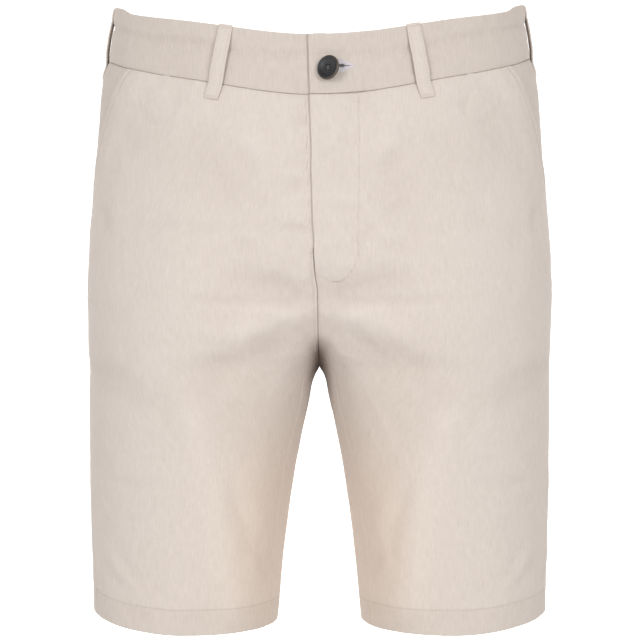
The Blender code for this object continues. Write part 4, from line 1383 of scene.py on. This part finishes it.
# name, place, size and power of the large soft lights, which face the shorts
LIGHTS = (
    ("front_light_left", (1.35, -2.55, 0.15), 1.3, 29.5),
    ("front_light_right", (-1.35, -2.55, 0.15), 1.3, 29.5),
    ("left_light", (2.8, 0.0, 0.5), 1.6, 4.0),
    ("right_light", (-2.8, 0.0, 0.5), 1.6, 4.0),
    ("back_light_left", (1.35, 2.55, 0.15), 1.3, 27.0),
    ("back_light_right", (-1.35, 2.55, 0.15), 1.3, 27.0),
)
AIM = Vector((0.0, 0.0, -0.2))


def make_stage():
    """A pale floor that turns up into a round wall."""
    bend = [(BOWL_RADIUS - BOWL_CURVE * (1 - math.sin(angle)), FLOOR_Z + BOWL_CURVE * (1 - math.cos(angle)))
            for angle in (step * math.pi / 2 / BEND_STEPS for step in range(BEND_STEPS + 1))]
    profile = [(radius, FLOOR_Z) for radius in (0.0, *FLOOR_RINGS)] + bend + [(BOWL_RADIUS, BOWL_TOP)]
    points, faces = turned(profile, BOWL_STEPS)
    floor = joined_mesh("stage", [(points / MM, faces)])
    floor.data.materials.append(stage_material())
    floor.visible_diffuse = False
    floor.visible_shadow = False


def make_lights():
    """Even white light from all round, and large soft lights before, behind and at the sides."""
    world = bpy.data.worlds.new("studio")
    world.use_nodes = True
    sky = world.node_tree.nodes["Background"].inputs
    sky["Color"].default_value = (1, 1, 1, 1)
    sky["Strength"].default_value = WORLD_LIGHT
    bpy.context.scene.world = world
    for name, place, size, power in LIGHTS:
        light = bpy.data.lights.new(name, "AREA")
        light.shape = "DISK"
        light.size = size
        light.energy = power
        lamp = add_object(name, light)
        lamp.location = place
        lamp.rotation_euler = (AIM - Vector(place)).to_track_quat("-Z", "Y").to_euler()
        lamp.visible_camera = False


def make_camera():
    """Level with the middle of the shorts, straight in front of them."""
    camera = bpy.data.cameras.new("camera")
    camera.lens = CAMERA_LENS
    camera.sensor_width = CAMERA_SENSOR
    view = add_object("camera", camera)
    view.location = CAMERA_PLACE
    view.rotation_euler = (math.radians(90.0), 0.0, 0.0)
    bpy.context.scene.camera = view
    bpy.context.scene.view_settings.view_transform = "Standard"


# ---------------------------------------------------------------- dressing the frame
# the two halves with their sides, and the two faces with whether each is the back
SIDES = (("left", 1), ("right", -1))
FACES = (("front", False), ("back", True))


def dress(piece, nodes, material):
    """Give a piece its material and its body, and hide the solids that it stands for."""
    piece.data.materials.clear()
    piece.data.materials.append(material)
    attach(piece, "root")
    if nodes:
        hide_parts(*nodes)


def build():
    """Make every piece and dress it."""
    linen = linen_material("linen", False)
    band_linen = linen_material("linen_band", True)
    sewn_linen = linen_material("linen_sewn", True)
    thread, satin, cotton, slit = (thread_material(name) for name in THREADS)
    shells, bands, loop_threads = [], [], []
    for suffix, side in SIDES:
        for face, back in FACES:
            piece, stitches = make_panel(f"cloth_{face}_{suffix}", side, back)
            dress(piece, [f"{face}_{suffix}"], sewn_linen)
            shells.append(piece)
            own = cloth_tree([piece])
            parts = [stitch_line(own, line, ways) for line, ways in stitches.values()]
            dress(joined_mesh(f"stitches_{face}_{suffix}", parts), [], thread)
        facing = make_facing(f"cloth_facing_{suffix}", side)
        dress(facing, [f"pocket_facing_{suffix}"], linen)
        bands.append(make_band(f"cloth_waistband_{suffix}", side))
        dress(bands[-1], [f"waistband_{suffix}"], band_linen)
    for face, back in FACES:
        dress(make_seam_cover(f"cloth_seam_cover_{face}", back), [], linen)
    tree = cloth_tree(shells + bands)
    for name, side, lower, upper in LOOPS:
        loop, parts = make_loop(f"cloth_loop_{name}", side, lower, upper, tree)
        dress(loop, [f"belt_loop_{name}"], linen)
        loop_threads += parts
    dress(joined_mesh("stitches_loops", loop_threads), [], thread)
    band_tree = cloth_tree(bands)
    dress(make_buttonhole(band_tree), [], satin)
    # a painted shadow in the buttonhole's slit
    dress(make_slit_shadow(band_tree), [], slit)
    dress(make_button(), ["button"], button_material())
    dress(make_button_cotton(), [], cotton)


build()
make_stage()
make_lights()
make_camera()
